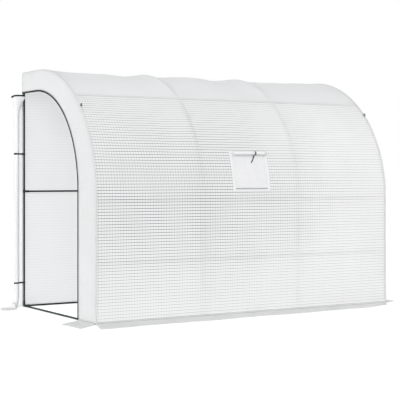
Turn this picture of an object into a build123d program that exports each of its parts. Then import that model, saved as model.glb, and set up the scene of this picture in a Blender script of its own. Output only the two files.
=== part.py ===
"""Lean-to polytunnel greenhouse, 3 m long, with a steel hoop frame under a white woven cover.

Frame of the model, in millimetres: +X runs along the tunnel from the left end to the right end,
+Y points to the upright rear side, so the curved front faces -Y, and +Z is up from the ground.
The origin is on the ground, at the middle of the whole footprint with its skirts.
"""
import os
from math import asin, cos, degrees, radians, sin, sqrt

from build123d import *

# Overall sizes, over the outside of the cover
LENGTH = 3000.0
DEPTH = 1500.0
HEIGHT = 2118.0
ARCH_R = 1130.0          # front curve, tangent to the roof and to the upright front

# Hoops, tubes and their fittings
HOOP_COUNT = 4
TUBE_D = 16.0
TUBE_WALL = 1.0
TUBE_SIDES = 8           # tubes and sockets have flat sides, which keeps a hundred of them light
FITTING_WALL = 1.6
SOCKET = 45.0            # how far a socket reaches from the middle of its fitting
COLLAR = 28.0            # height of the band that grips a hoop
FIT = 0.3                # clearance between pieces that seat in or on each other

# Heights of the rails above the ground, and the place of the purlin on the curve
REAR_RAIL_Z = 1046.0
FRONT_RAIL_Z = 987.0
FRONT_LOW_RAIL_Z = 490.0
PURLIN_ANGLE = 39.5      # degrees down from the top of the front curve

# Cover, modelled thicker than the woven sheet
COVER_T = 3.0

# End sheets: a band over each doorway and an upright strip before it, with a zip along their edge
END_BAND = 188.0
END_STRIP = 334.0
DOOR_ARCH_R = 850.0
ZIP_W = 12.0
ZIP_T = 5.0

# Each door is rolled up beside its rear post and tied to it
ROLL_D = 50.0
ROLL_DROP = 30.0         # from the top of the doorway down to the top of the roll
ROLL_OFFSET = 68.0       # from the end of the tunnel out to the middle of the roll
TIE_T = 1.5
TIE_H = 14.0
TIE_HEIGHTS = (221.0, 1384.0)
ZIP_TAIL = 28.0          # how far the door's own zip sticks out past the roll

# Skirts on the ground
SKIRT_W = 270.0
END_SKIRT_W = 215.0
DOOR_SKIRT_L = 184.0
DOOR_SKIRT_W = 110.0

# Window in the middle of the front
WINDOW_W = 330.0
WINDOW_BOTTOM = 1080.0
WINDOW_TOP = 1375.0
WINDOW_BORDER = 30.0
FLAP_ROLL_D = 34.0
TOGGLE_W = 12.0
TOGGLE_X = 60.0
TOGGLE_DROP = 85.0

# Storm loops on the end hoops
LOOP_ANGLE = 47.0        # degrees down from the top of the front curve
LOOP_D = 26.0
LOOP_WIRE = 6.0
LOOP_SIDES = 24          # straps and loops are bent in short flats

# Worked out from the sizes above
FITTING_D = TUBE_D + 2 * (FIT + FITTING_WALL)
BORE_D = TUBE_D + 2 * FIT
INSET = COVER_T + FIT + FITTING_D / 2        # from the cover's outer face to a tube's centre line
STOP = FITTING_D / 2 + 2.0                   # where the bore of a socket ends
REAR_Y = (DEPTH + SKIRT_W) / 2
FRONT_Y = REAR_Y - DEPTH
ARCH_Y = FRONT_Y + ARCH_R
SPRING_Z = HEIGHT - ARCH_R
END_X = LENGTH / 2
HOOP_X = END_X - INSET
HOOP_SPACING = 2 * HOOP_X / (HOOP_COUNT - 1)
TUBE_REAR_Y = REAR_Y - INSET
TUBE_FRONT_Y = FRONT_Y + INSET
TUBE_TOP_Z = HEIGHT - INSET
TUBE_GROUND_Z = FITTING_D / 2
TUBE_ARCH_R = ARCH_R - INSET
DOOR_TOP = HEIGHT - END_BAND
DOOR_FRONT_Y = FRONT_Y + END_STRIP
ROLL_TOP = DOOR_TOP - ROLL_DROP
ROLL_X = -END_X - ROLL_OFFSET
ROLL_Y = REAR_Y - TIE_T - FIT - ROLL_D / 2

UP, DOWN = (0, 0, 1), (0, 0, -1)
FORWARD, BACK = (0, -1, 0), (0, 1, 0)
parts = {}


def bar_section(diameter):
    """Flat-sided section that fits inside a circle of this diameter."""
    return RegularPolygon(diameter / 2, TUBE_SIDES)


def bore_section(diameter):
    """Flat-sided section that leaves room for a circle of this diameter."""
    return RegularPolygon(diameter / 2, TUBE_SIDES, major_radius=False)


def run(section, start, direction, length):
    """Straight solid of this section from `start` along `direction`."""
    return extrude(Plane(origin=start, z_dir=direction) * section, length)


def tube(start, direction, length):
    """Steel tube from `start` along `direction`."""
    section = bar_section(TUBE_D) - bar_section(TUBE_D - 2 * TUBE_WALL)
    return run(section, start, direction, length)


def socket_bore(centre, way):
    """Bore of a fitting's arm, from its stop past its mouth."""
    return run(bore_section(BORE_D), Vector(*centre) + Vector(*way) * STOP, way, SOCKET)


def corner_fitting(centre, ways, knuckle):
    """Fitting for tubes that end in it: an arm in each of the `ways`, round a short `knuckle`."""
    body = knuckle
    for way in ways:
        body += run(bar_section(FITTING_D), centre, way, SOCKET)
    for way in ways:
        body -= socket_bore(centre, way)
    return body


def clip(centre, hoop_direction, ways):
    """Band round a hoop at `centre`, with a socket for a rail in each of the `ways`."""
    along = Vector(*hoop_direction)
    start = Vector(*centre) - along * (COLLAR / 2)
    body = run(bar_section(FITTING_D), start, along, COLLAR)
    for way in ways:
        body += run(bar_section(FITTING_D), centre, way, SOCKET)
    for way in ways:
        body -= socket_bore(centre, way)
    return body - run(bore_section(BORE_D), start - along, along, COLLAR + 2)


def along_x(profile, x_start, x_end):
    """Solid whose section is a (Y, Z) profile, from x_start to x_end."""
    return Pos(x_start, 0, 0) * extrude(Plane.YZ * profile, x_end - x_start)


def arched_outline(rear, front, top, radius):
    """(Y, Z) face with an upright rear, a flat top, a quarter arch and an upright front."""
    centre_y, centre_z = front + radius, top - radius
    return make_face(
        [
            Line((front, 0), (rear, 0)),
            Line((rear, 0), (rear, top)),
            Line((rear, top), (centre_y, top)),
            CenterArc((centre_y, centre_z), radius, 90, 90),
            Line((front, centre_z), (front, 0)),
        ]
    )


def tunnel_section(inset):
    """The tunnel's cross-section, `inset` inside the cover's outer face."""
    face = arched_outline(REAR_Y - inset, FRONT_Y + inset, HEIGHT - inset, ARCH_R - inset)
    rear_top = face.vertices().sort_by(lambda corner: corner.X + corner.Y)[-1]
    return fillet(rear_top, INSET - inset)


def doorway_section(margin):
    """The doorway's outline, `margin` outside its edge, running out past the rear side."""
    door_front = DOOR_FRONT_Y - margin
    return arched_outline(REAR_Y + COVER_T, door_front, DOOR_TOP + margin, DOOR_ARCH_R + margin)


def on_arch(angle, radius):
    """(Y, Z) of the point on the front curve that is `angle` degrees down from its top."""
    return ARCH_Y - radius * sin(radians(angle)), SPRING_Z + radius * cos(radians(angle))


def on_front(z):
    """(Y, Z) of the hoop's centre line at height `z` on its front side, and the way it runs there."""
    rise = max(z - SPRING_Z, 0)
    reach = sqrt(TUBE_ARCH_R**2 - rise**2)
    return ARCH_Y - reach, z, (0, rise / TUBE_ARCH_R, reach / TUBE_ARCH_R)


def side_ways(index):
    """Directions along the tunnel in which the hoop at `index` has a neighbour."""
    ways = []
    if index > 0:
        ways.append((-1, 0, 0))
    if index < HOOP_COUNT - 1:
        ways.append((1, 0, 0))
    return ways


def arch_bar(x, foot_z, flat_y):
    """Hoop at `x`: up from `foot_z`, round the front curve and back along the roof.

    It is a bent tube, drawn filled because the bore of its long bend shows nowhere.
    """
    section = bar_section(TUBE_D)
    centre = (x, ARCH_Y, SPRING_Z)
    start = Plane(origin=centre, x_dir=FORWARD, z_dir=UP) * Pos(TUBE_ARCH_R, 0, 0) * section
    bend = revolve(start, Axis(centre, (-1, 0, 0)), 90)
    flat = run(section, (x, flat_y, TUBE_TOP_Z), FORWARD, flat_y - ARCH_Y)
    leg = run(section, (x, TUBE_FRONT_Y, foot_z), UP, SPRING_Z - foot_z)
    return flat + bend + leg


def loop_section(inside_d, wall):
    """Closed strap or ring of this wall round a circle, bent in short flats."""
    inner = RegularPolygon(inside_d / 2, LOOP_SIDES, major_radius=False)
    return RegularPolygon(inside_d / 2 + wall, LOOP_SIDES, major_radius=False) - inner


def as_node(shapes):
    """Several solids kept as one node."""
    return Compound(children=[solid for shape in shapes for solid in shape.solids()])


# Rails along the tunnel: where each one crosses a hoop, and the way the hoop runs there
purlin_y, purlin_z = on_arch(PURLIN_ANGLE, TUBE_ARCH_R)
purlin_run = (0, -cos(radians(PURLIN_ANGLE)), -sin(radians(PURLIN_ANGLE)))
clipped_rails = {
    "rear_middle_rails": (TUBE_REAR_Y, REAR_RAIL_Z, UP),
    "front_low_rails": on_front(FRONT_LOW_RAIL_Z),
    "front_middle_rails": on_front(FRONT_RAIL_Z),
    "roof_purlins": (purlin_y, purlin_z, purlin_run),
}
cornered_rails = {
    "rear_ground_rails": (TUBE_REAR_Y, TUBE_GROUND_Z),
    "rear_top_rails": (TUBE_REAR_Y, TUBE_TOP_Z),
    "front_ground_rails": (TUBE_FRONT_Y, TUBE_GROUND_Z),
}

# Hoops: a rear post, a front post and an arch each, with the fittings that join them
hoop_places = [-HOOP_X + i * HOOP_SPACING for i in range(HOOP_COUNT)]
post_foot_z = TUBE_GROUND_Z + STOP + FIT
post_head_z = TUBE_TOP_Z - STOP - FIT
joint_z = (FRONT_LOW_RAIL_Z + SPRING_Z) / 2
flat_y = TUBE_REAR_Y - STOP - FIT
ground_fittings, top_fittings, rail_clips, arch_joints = [], [], [], []

for i, x in enumerate(hoop_places):
    name = f"hoop_{i + 1}"
    sides = side_ways(i)
    at_end = len(sides) == 1
    parts[f"{name}_rear_post"] = tube((x, TUBE_REAR_Y, post_foot_z), UP, post_head_z - post_foot_z)
    parts[f"{name}_front_post"] = tube((x, TUBE_FRONT_Y, post_foot_z), UP, joint_z - post_foot_z)
    parts[f"{name}_arch"] = arch_bar(x, joint_z + FIT, flat_y)

    for y, inward in ((TUBE_REAR_Y, FORWARD), (TUBE_FRONT_Y, BACK)):
        foot = run(bar_section(FITTING_D), (x, y, 0), UP, FITTING_D)
        ways = [UP, *sides] + [inward] * at_end
        ground_fittings.append(corner_fitting((x, y, TUBE_GROUND_Z), ways, foot))
    knuckle = run(
        bar_section(FITTING_D), (x - FITTING_D / 2, TUBE_REAR_Y, TUBE_TOP_Z), (1, 0, 0), FITTING_D
    )
    ways = [DOWN, FORWARD, *sides]
    top_fittings.append(corner_fitting((x, TUBE_REAR_Y, TUBE_TOP_Z), ways, knuckle))

    rail_clips += [clip((x, y, z), hoop_run, sides) for y, z, hoop_run in clipped_rails.values()]
    joint = bar_section(FITTING_D) - bore_section(BORE_D)
    arch_joints.append(run(joint, (x, TUBE_FRONT_Y, joint_z - SOCKET), UP, 2 * SOCKET))

parts["ground_fittings"] = as_node(ground_fittings)
parts["rear_top_fittings"] = as_node(top_fittings)
parts["rail_clips"] = as_node(rail_clips)
parts["arch_joints"] = as_node(arch_joints)

rail_start = STOP + FIT
rail_length = HOOP_SPACING - 2 * rail_start
for name, (y, z, *_) in {**cornered_rails, **clipped_rails}.items():
    parts[name] = as_node([tube((x + rail_start, y, z), (1, 0, 0), rail_length) for x in hoop_places[:-1]])

# Ground rails across both ends, at the foot of the doorways
sill_start = TUBE_FRONT_Y + STOP + FIT
sill_length = TUBE_REAR_Y - STOP - FIT - sill_start
for side, x in (("left", -HOOP_X), ("right", HOOP_X)):
    parts[f"{side}_ground_rail"] = tube((x, sill_start, TUBE_GROUND_Z), BACK, sill_length)

# Cover along the tunnel in three bays, with a roof, a front and a rear sheet in each
shell = tunnel_section(0) - tunnel_section(COVER_T)
far = HEIGHT + DEPTH
seam_y, seam_z = on_arch(PURLIN_ANGLE, far)
front_zone = make_face(
    Polyline((ARCH_Y, SPRING_Z), (seam_y, seam_z), (ARCH_Y - far, 0), (ARCH_Y, 0), close=True)
)
rear_zone = Pos(REAR_Y, 0) * Rectangle(2 * COVER_T, 2 * (HEIGHT - INSET))
roof_sheet = shell - rear_zone - front_zone
front_sheet = shell & front_zone
rear_sheet = shell & rear_zone

cover_end = END_X - COVER_T - FIT
bay_ends = [-cover_end, *hoop_places[1:-1], cover_end]
bay_names = ("left", "middle", "right")
for name, x_start, x_end in zip(bay_names, bay_ends[:-1], bay_ends[1:]):
    parts[f"roof_cover_{name}"] = along_x(roof_sheet, x_start, x_end)
    parts[f"front_cover_{name}"] = along_x(front_sheet, x_start, x_end)
    parts[f"rear_cover_{name}"] = along_x(rear_sheet, x_start, x_end)


# Window: an opening in the middle bay, netting in it, a border sewn round it and its rolled flap
def window_block(margin):
    """Block through the front, `margin` outside the window's edge on every side."""
    height = WINDOW_TOP - WINDOW_BOTTOM
    block = Box(WINDOW_W + 2 * margin, ARCH_R, height + 2 * margin)
    return Pos(0, FRONT_Y, (WINDOW_TOP + WINDOW_BOTTOM) / 2) * block


parts["front_cover_middle"] -= window_block(0)
parts["window_netting"] = along_x(front_sheet, -WINDOW_W, WINDOW_W) & window_block(-FIT)
border_sheet = (tunnel_section(-FIT - TIE_T) - tunnel_section(-FIT)) & front_zone
border_ring = window_block(WINDOW_BORDER) - window_block(0)
parts["window_border"] = along_x(border_sheet, -WINDOW_W, WINDOW_W) & border_ring

flap_r = FLAP_ROLL_D / 2
flap_angle = 90 - degrees(asin((WINDOW_TOP - SPRING_Z) / ARCH_R))
flap_y, flap_z = on_arch(flap_angle, ARCH_R + TIE_T + 2 * FIT + flap_r)
parts["window_flap_roll"] = Pos(0, flap_y, flap_z) * Rot(0, 90, 0) * Cylinder(flap_r, WINDOW_W)

# The tie goes round the roll and lies on the window below it
tie_inset = -TIE_T - 2 * FIT
band = Pos(flap_y, flap_z) * loop_section(FLAP_ROLL_D + 2 * FIT, TIE_T)
tongue_zone = Pos(flap_y, flap_z) * Rectangle(ARCH_R, TOGGLE_DROP, align=(Align.CENTER, Align.MAX))
tongue = (tunnel_section(tie_inset - TIE_T) - tunnel_section(tie_inset)) & tongue_zone & front_zone
roll_space = Pos(flap_y, flap_z) * Circle(flap_r + FIT)
tie_profile = (band - tunnel_section(tie_inset)) + (tongue - roll_space)
parts["window_tie"] = along_x(tie_profile, TOGGLE_X - TOGGLE_W / 2, TOGGLE_X + TOGGLE_W / 2)


# Both ends: the end sheet round its doorway, zip, rolled door with its ties, and skirts
def end_pieces():
    """Nodes of the left end, by name."""
    pieces = {}
    end_sheet = tunnel_section(0) - doorway_section(ZIP_W + FIT)
    strip_zone = Pos(FRONT_Y, 0) * Rectangle(2 * DEPTH, 2 * SPRING_Z)
    pieces["end_arch"] = along_x(end_sheet - strip_zone, -END_X, -END_X + COVER_T)
    pieces["end_strip"] = along_x(end_sheet & strip_zone, -END_X, -END_X + COVER_T)

    zip_strip = (doorway_section(ZIP_W) - doorway_section(0)) & tunnel_section(0)
    zip_inner = -END_X + COVER_T
    door_zip = along_x(zip_strip, zip_inner - ZIP_T, zip_inner)
    tail_length = ROLL_OFFSET + ROLL_D / 2 + ZIP_TAIL
    zip_tail = Pos(-END_X, ROLL_Y, ROLL_TOP + FIT) * Box(
        tail_length, COVER_T, ZIP_W, align=(Align.MAX, Align.CENTER, Align.MIN)
    )
    pieces["door_zip"] = as_node([door_zip, zip_tail])

    ground = COVER_T + FIT
    lead = Pos(-END_X, ROLL_Y + ROLL_D / 2) * Rectangle(
        ROLL_OFFSET, COVER_T, align=(Align.MAX, Align.MAX)
    )
    coil = Pos(ROLL_X, ROLL_Y) * Circle(ROLL_D / 2)
    pieces["door_roll"] = Pos(0, 0, ground) * extrude(coil + lead, ROLL_TOP - ground)

    strap_d = ROLL_D + 2 * FIT
    strap = Pos(ROLL_X, ROLL_Y) * loop_section(strap_d, TIE_T)
    lead_gap = Pos(-END_X, ROLL_Y + ROLL_D / 2 + TIE_T) * Rectangle(
        ROLL_OFFSET, COVER_T + TIE_T + FIT, align=(Align.MAX, Align.MAX)
    )
    post_side = -HOOP_X - TUBE_D / 2 - FIT
    strap_middle = (strap_d + TIE_T) / 2
    strap_side = ROLL_X + sqrt(strap_middle**2 - (TUBE_REAR_Y - TIE_T / 2 - ROLL_Y) ** 2)
    to_post = Pos(strap_side, TUBE_REAR_Y) * Rectangle(
        post_side - strap_side, TIE_T, align=(Align.MIN, Align.CENTER)
    )
    tie = extrude(strap - lead_gap + to_post, TIE_H)
    pieces["door_ties"] = as_node([Pos(0, 0, z - TIE_H / 2) * tie for z in TIE_HEIGHTS])

    pieces["door_skirt"] = Pos(-END_X - FIT, REAR_Y, 0) * Box(
        DOOR_SKIRT_L, DOOR_SKIRT_W, COVER_T, align=(Align.MAX, Align.MAX, Align.MIN)
    )
    pieces["end_skirt"] = Pos(-END_X - FIT, FRONT_Y, 0) * Box(
        END_SKIRT_W - FIT, END_STRIP - ZIP_W - FIT, COVER_T, align=(Align.MAX, Align.MIN, Align.MIN)
    )

    loop_y, loop_z = on_arch(LOOP_ANGLE, ARCH_R + FIT + LOOP_D / 2)
    ring = Pos(loop_y, loop_z) * loop_section(LOOP_D - 2 * LOOP_WIRE, LOOP_WIRE)
    pieces["storm_loop"] = along_x(ring, -HOOP_X - LOOP_WIRE / 2, -HOOP_X + LOOP_WIRE / 2)
    return pieces


for name, piece in end_pieces().items():
    parts[f"left_{name}"] = piece
    parts[f"right_{name}"] = mirror(piece, about=Plane.YZ)

parts["front_skirt"] = Pos(0, FRONT_Y - FIT, 0) * Box(
    LENGTH, SKIRT_W - FIT, COVER_T, align=(Align.CENTER, Align.MAX, Align.MIN)
)

os.makedirs("parts", exist_ok=True)
for name, shape in parts.items():
    export_step(shape, f"parts/{name}.step")
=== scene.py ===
# %% [markdown]
# # A lean-to polytunnel under a woven cover
#
# The tunnel is a steel hoop frame with a white woven sheet pulled over it. The sheet goes up
# the straight rear side, over the roof and down one long curve at the front. Each end has an
# arched doorway whose door is rolled up beside the rear post. Almost everything seen is thin
# cloth, so the work goes into one curved sheet, its weave and the light that passes it.
#
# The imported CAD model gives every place. It is loaded first and never moved.

import bpy
import numpy as np
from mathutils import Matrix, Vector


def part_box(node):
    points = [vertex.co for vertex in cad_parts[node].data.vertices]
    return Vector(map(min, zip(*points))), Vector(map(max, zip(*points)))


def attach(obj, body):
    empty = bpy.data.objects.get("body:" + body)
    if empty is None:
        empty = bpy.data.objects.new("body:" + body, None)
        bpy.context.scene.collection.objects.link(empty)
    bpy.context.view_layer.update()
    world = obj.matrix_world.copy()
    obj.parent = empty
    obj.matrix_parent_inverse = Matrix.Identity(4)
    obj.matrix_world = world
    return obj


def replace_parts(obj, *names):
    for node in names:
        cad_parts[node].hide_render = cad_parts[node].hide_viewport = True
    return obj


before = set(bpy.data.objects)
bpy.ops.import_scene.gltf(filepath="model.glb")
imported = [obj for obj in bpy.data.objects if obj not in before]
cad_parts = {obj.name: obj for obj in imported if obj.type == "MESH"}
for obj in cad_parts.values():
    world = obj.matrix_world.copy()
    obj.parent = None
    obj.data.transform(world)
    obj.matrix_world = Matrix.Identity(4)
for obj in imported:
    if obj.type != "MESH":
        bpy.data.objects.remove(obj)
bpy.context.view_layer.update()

# %% [markdown]
# ## Camera first
#
# The photograph was taken from the left, almost level, from about nine metres away. Its lines
# meet far off, so it is a long lens. The place of the lens decides how every later piece
# compares with the picture, and therefore it is set before anything is built.

# %% Camera
CAMERA_PLACE = (-5.541, -8.813, 1.191)
CAMERA_YAW = np.radians(-31.44)
PICTURE_PX = 400
FOCAL_PX = 1145.3
HORIZON_ROW = 175.3
SENSOR_MM = 36.0

camera_data = bpy.data.cameras.new("camera")
camera_data.sensor_width = SENSOR_MM
camera_data.lens = FOCAL_PX / PICTURE_PX * SENSOR_MM
camera_data.shift_y = (HORIZON_ROW - PICTURE_PX / 2) / PICTURE_PX
camera = bpy.data.objects.new("camera", camera_data)
camera.location = CAMERA_PLACE
camera.rotation_euler = (np.pi / 2, 0.0, CAMERA_YAW)
bpy.context.scene.collection.objects.link(camera)
bpy.context.scene.camera = camera
bpy.context.scene.view_settings.view_transform = "Standard"
print("lens:", round(camera_data.lens, 2), "mm")

# %% [markdown]
# ## Nodes
#
# The studio and all the finishes are node trees. One helper makes any node from its settings
# and its inputs. The others stand for the kinds that come up most often: sums, a value moved
# from one range to another, and two shaders mixed.


# %% Helpers for nodes
def add(tree, kind, inputs=None, **settings):
    """New node with these settings. Its inputs are nodes, sockets, numbers or colours."""
    node = tree.nodes.new(kind)
    for name, value in settings.items():
        setattr(node, name, value)
    for key, value in (inputs or {}).items():
        socket = node.inputs[key]
        if isinstance(value, bpy.types.Node):
            value = value.outputs[0]
        if isinstance(value, bpy.types.NodeSocket):
            tree.links.new(value, socket)
        else:
            socket.default_value = (*value, 1.0) if socket.type == "RGBA" else value
    return node


def empty_tree(owner):
    """Cleared node tree of a material or a world."""
    owner.use_nodes = True
    owner.node_tree.nodes.clear()
    return owner.node_tree


def maths(tree, operation, *values, clamp=False):
    """Result of a Math node."""
    return add(tree, "ShaderNodeMath", dict(enumerate(values)), operation=operation,
               use_clamp=clamp).outputs[0]


def ranged(tree, value, low=0.0, high=1.0, start=0.0, end=1.0, smooth=False):
    """Value that goes from `low` to `high` as the given one goes from `start` to `end`."""
    inputs = {"Value": value, "From Min": start, "From Max": end, "To Min": low, "To Max": high}
    return add(tree, "ShaderNodeMapRange", inputs,
               interpolation_type="SMOOTHSTEP" if smooth else "LINEAR").outputs["Result"]


def blended(tree, share, first, second):
    """Shader that goes from the first to the second as the share goes from nought to one."""
    return add(tree, "ShaderNodeMixShader", {0: share, 1: first, 2: second})


print("node helpers ready")

# %% [markdown]
# ## Studio
#
# The picture stands on pure white with hardly a shadow. Here the floor is pale and keeps the
# tunnel's soft shadow, and a little white is added only for rays that come straight from the
# camera or through something glossy or clear. The light on the tunnel stays plain: a dome that
# is a bit dimmer overhead than near the horizon, and one broad soft lamp from the left front.

# %% Floor
FLOOR_HALF = 60.0
FLOOR_COLOUR = (0.88, 0.88, 0.88)
WHITE_FOR_CAMERA = 0.42


def seen_directly(tree):
    """One where a ray comes from the camera, a mirror or through clear matter, otherwise nought."""
    ray = tree.nodes.new("ShaderNodeLightPath").outputs
    plain = maths(tree, "MAXIMUM", ray["Is Camera Ray"], ray["Is Glossy Ray"])
    return maths(tree, "MAXIMUM", plain, ray["Is Transmission Ray"])


def studio_floor_material():
    """Pale floor: a diffuse part that takes the shadow, plus white that only direct looks see."""
    material = bpy.data.materials.new("studio_floor")
    tree = empty_tree(material)
    diffuse = add(tree, "ShaderNodeBsdfDiffuse", {"Color": FLOOR_COLOUR})
    white = maths(tree, "MULTIPLY", seen_directly(tree), WHITE_FOR_CAMERA)
    glow = add(tree, "ShaderNodeEmission", {"Strength": white})
    both = add(tree, "ShaderNodeAddShader", {0: diffuse, 1: glow})
    add(tree, "ShaderNodeOutputMaterial", {"Surface": both})
    return material


floor_mesh = bpy.data.meshes.new("studio_floor")
floor_mesh.from_pydata([(x * FLOOR_HALF, y * FLOOR_HALF, 0)
                        for x, y in ((-1, -1), (1, -1), (1, 1), (-1, 1))], [], [(0, 1, 2, 3)])
floor_mesh.materials.append(studio_floor_material())
floor = bpy.data.objects.new("studio_floor", floor_mesh)
bpy.context.scene.collection.objects.link(floor)
print("floor:", 2 * FLOOR_HALF, "m wide")

# %% [markdown]
# Daylight comes from a whole sky, and cloth that is lit from both sides needs it. So the light
# is a white dome. It falls off overhead, because in the photograph the upright end is brighter
# than the roof. One sun lamp adds a direction. It is spread over fifty degrees, since a sharp
# one would draw the hoops as hard lines on the cloth.

# %% Dome and lamp
WHITE = (1.0, 1.0, 1.0)
DOME_AT_HORIZON = 1.08
DOME_OVERHEAD = 0.38
LAMP_STRENGTH = 2.15
LAMP_SPREAD, LAMP_TILT, LAMP_TURN = np.radians((50, 72, -46))

world = bpy.data.worlds.new("studio")
bpy.context.scene.world = world
sky = empty_tree(world)
direction = sky.nodes.new("ShaderNodeTexCoord").outputs["Generated"]
height = add(sky, "ShaderNodeSeparateXYZ", {0: direction}).outputs["Z"]
strength = ranged(sky, height, DOME_AT_HORIZON, DOME_OVERHEAD)
dome = add(sky, "ShaderNodeBackground", {"Color": WHITE, "Strength": strength})
white = add(sky, "ShaderNodeBackground", {"Color": WHITE})
chosen = blended(sky, seen_directly(sky), dome, white)
add(sky, "ShaderNodeOutputWorld", {"Surface": chosen})

lamp_data = bpy.data.lights.new("soft_lamp", "SUN")
lamp_data.energy = LAMP_STRENGTH
lamp_data.angle = LAMP_SPREAD
lamp = bpy.data.objects.new("soft_lamp", lamp_data)
lamp.rotation_euler = (LAMP_TILT, 0.0, LAMP_TURN)
bpy.context.scene.collection.objects.link(lamp)
print("dome from", DOME_AT_HORIZON, "to", DOME_OVERHEAD, "and lamp", LAMP_STRENGTH)

# %% [markdown]
# ## Sizes from the frame
#
# The tunnel's outline is a few numbers: its two ends, its rear and front face, its height and
# the radius of the front curve. They are read back from the CAD nodes, so that a cloth made
# here lies exactly on the hoops.


# %% Read the sizes
def middle(node):
    """Middle of a CAD node's box."""
    return np.array(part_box(node)).mean(axis=0)


END_X = -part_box("left_end_arch")[0].x
SPRING_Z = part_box("left_end_arch")[0].z
REAR_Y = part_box("rear_cover_middle")[1].y
FRONT_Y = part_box("front_cover_middle")[0].y
TOP_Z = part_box("roof_cover_middle")[1].z
ARCH_R = TOP_Z - SPRING_Z
CLOTH_T = 0.0010
HOOP_XS = [middle(f"hoop_{i}_rear_post")[0] for i in (1, 2, 3, 4)]
TUBE_R = 0.008
SIDES = (("left", -1), ("right", 1))
print("ends at", round(END_X, 4), "curve radius", round(ARCH_R, 4), "hoops", np.round(HOOP_XS, 3))

# %% [markdown]
# ## Tools for surfaces
#
# Every new piece is a grid of points worked out as whole arrays. Two ideas cover them all. An
# outline is a path of straight runs joined by quarter arcs. A piece is either a sheet whose
# points come from two parameters, or a profile carried along a path.
#
# A Blender curve could hold an outline too. The arrays are kept instead, because several
# pieces have to find the same point on it from its length, its height or its share.


# %% Outlines of straight runs and quarter arcs
def outline(corners, radii):
    """Lengths where the pieces of a path end, and a function that gives its points.

    The path runs from corner to corner in a plane, and every inner corner is a right angle
    rounded by a quarter circle: from its centre, the point is minus the way out times the
    cosine plus the way in times the sine of the angle passed, times the radius.
    """
    corners = np.array(corners, float)
    ways = np.diff(corners, axis=0)
    runs = np.linalg.norm(ways, axis=1)
    ways = ways / runs[:, None]
    cut = np.concatenate([[0.0], radii, [0.0]])
    marks, pieces = [0.0], []
    for i, (way, length) in enumerate(zip(ways, runs)):
        pieces.append(("run", corners[i] + way * cut[i], way, None, None))
        marks.append(marks[-1] + length - cut[i] - cut[i + 1])
        if i < len(radii):
            out, r = ways[i + 1], radii[i]
            pieces.append(("arc", corners[i + 1] - way * r + out * r, way, out, r))
            marks.append(marks[-1] + r * np.pi / 2)

    def at(s):
        """Points and outward normals at the lengths s."""
        s = np.asarray(s, float)
        points, tangents = np.zeros(s.shape + (2,)), np.zeros(s.shape + (2,))
        for k, (kind, base, way, out, r) in enumerate(pieces):
            on = (s >= marks[k]) & ((s <= marks[k + 1]) | (k == len(pieces) - 1))
            past = (s - marks[k])[on][..., None]
            if kind == "run":
                points[on], tangents[on] = base + way * past, way
            else:
                angle = past / r
                points[on] = base + (way * np.sin(angle) - out * np.cos(angle)) * r
                tangents[on] = way * np.cos(angle) + out * np.sin(angle)
        return points, np.stack([tangents[..., 1], -tangents[..., 0]], axis=-1)

    return np.array(marks), at


print("outlines ready")

# %% [markdown]
# A grid needs a row wherever its shape changes: at a rail, at a bend, at an edge of the window.
# So the lengths of its rows are set between such breaks, in even steps.


# %% Stations along a path
def stations(breaks, step):
    """Values that meet every break, with even steps no longer than `step` between them."""
    spans = [np.linspace(a, b, max(int(np.ceil((b - a) / step)), 1) + 1)[:-1]
             for a, b in zip(breaks[:-1], breaks[1:])]
    return np.concatenate(spans + [[breaks[-1]]])


COVER_CORNER_R = 0.0132
cover_marks, cover_at = outline(
    [(REAR_Y, 0), (REAR_Y, TOP_Z), (FRONT_Y, TOP_Z), (FRONT_Y, 0)], [COVER_CORNER_R, ARCH_R]
)
CURVE_S = cover_marks[3]
COVER_LENGTH = cover_marks[-1]
print("the cover is", round(COVER_LENGTH, 3), "m from ground to ground")

# %% [markdown]
# A mesh is a list of points and a list of faces. The points of a grid stand in rows, so the
# four corners of each quad follow from its row and column.


# %% Pieces from grids
def grid_faces(rows, cols, wrap_rows=False, wrap_cols=False):
    """Corner numbers of the quads between neighbours in a grid."""
    index = np.arange(rows * cols).reshape(rows, cols)
    if wrap_rows:
        index = np.concatenate([index, index[:1]], axis=0)
    if wrap_cols:
        index = np.concatenate([index, index[:, :1]], axis=1)
    quads = np.stack([index[:-1, :-1], index[1:, :-1], index[1:, 1:], index[:-1, 1:]], axis=-1)
    return quads.reshape(-1, 4)


def make_piece(name, shells, material, uv=None, sharp=None, thickness=None):
    """One object from several (points, faces) shells, riding on the tunnel and smooth-shaded.

    Where a thickness is given, the sheet keeps its outer face and grows inwards.
    """
    points, faces, first = [], [], 0
    for shell_points, shell_faces in shells:
        flat_points = np.asarray(shell_points, float).reshape(-1, 3)
        points.append(flat_points)
        faces += [tuple(int(i) + first for i in face) for face in shell_faces]
        first += len(flat_points)
    mesh = bpy.data.meshes.new(name)
    mesh.from_pydata(np.concatenate(points), [], faces)
    mesh.polygons.foreach_set("use_smooth", np.ones(len(mesh.polygons), bool))
    if uv is not None:
        corner = np.zeros(len(mesh.loops), np.int32)
        mesh.loops.foreach_get("vertex_index", corner)
        layer = mesh.uv_layers.new(name="cloth")
        layer.data.foreach_set("uv", np.asarray(uv, np.float32).reshape(-1, 2)[corner].ravel())
    mesh.update()
    if sharp is not None:
        mesh.set_sharp_from_angle(angle=np.radians(sharp))
    piece = bpy.data.objects.new(name, mesh)
    bpy.context.scene.collection.objects.link(piece)
    mesh.materials.append(material)
    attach(piece, "root")
    if thickness is not None:
        wall = piece.modifiers.new("thickness", "SOLIDIFY")
        wall.thickness = thickness
        wall.offset = -1.0
    return piece


print("a grid of 3 by 3 points has", len(grid_faces(3, 3)), "quads")

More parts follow.
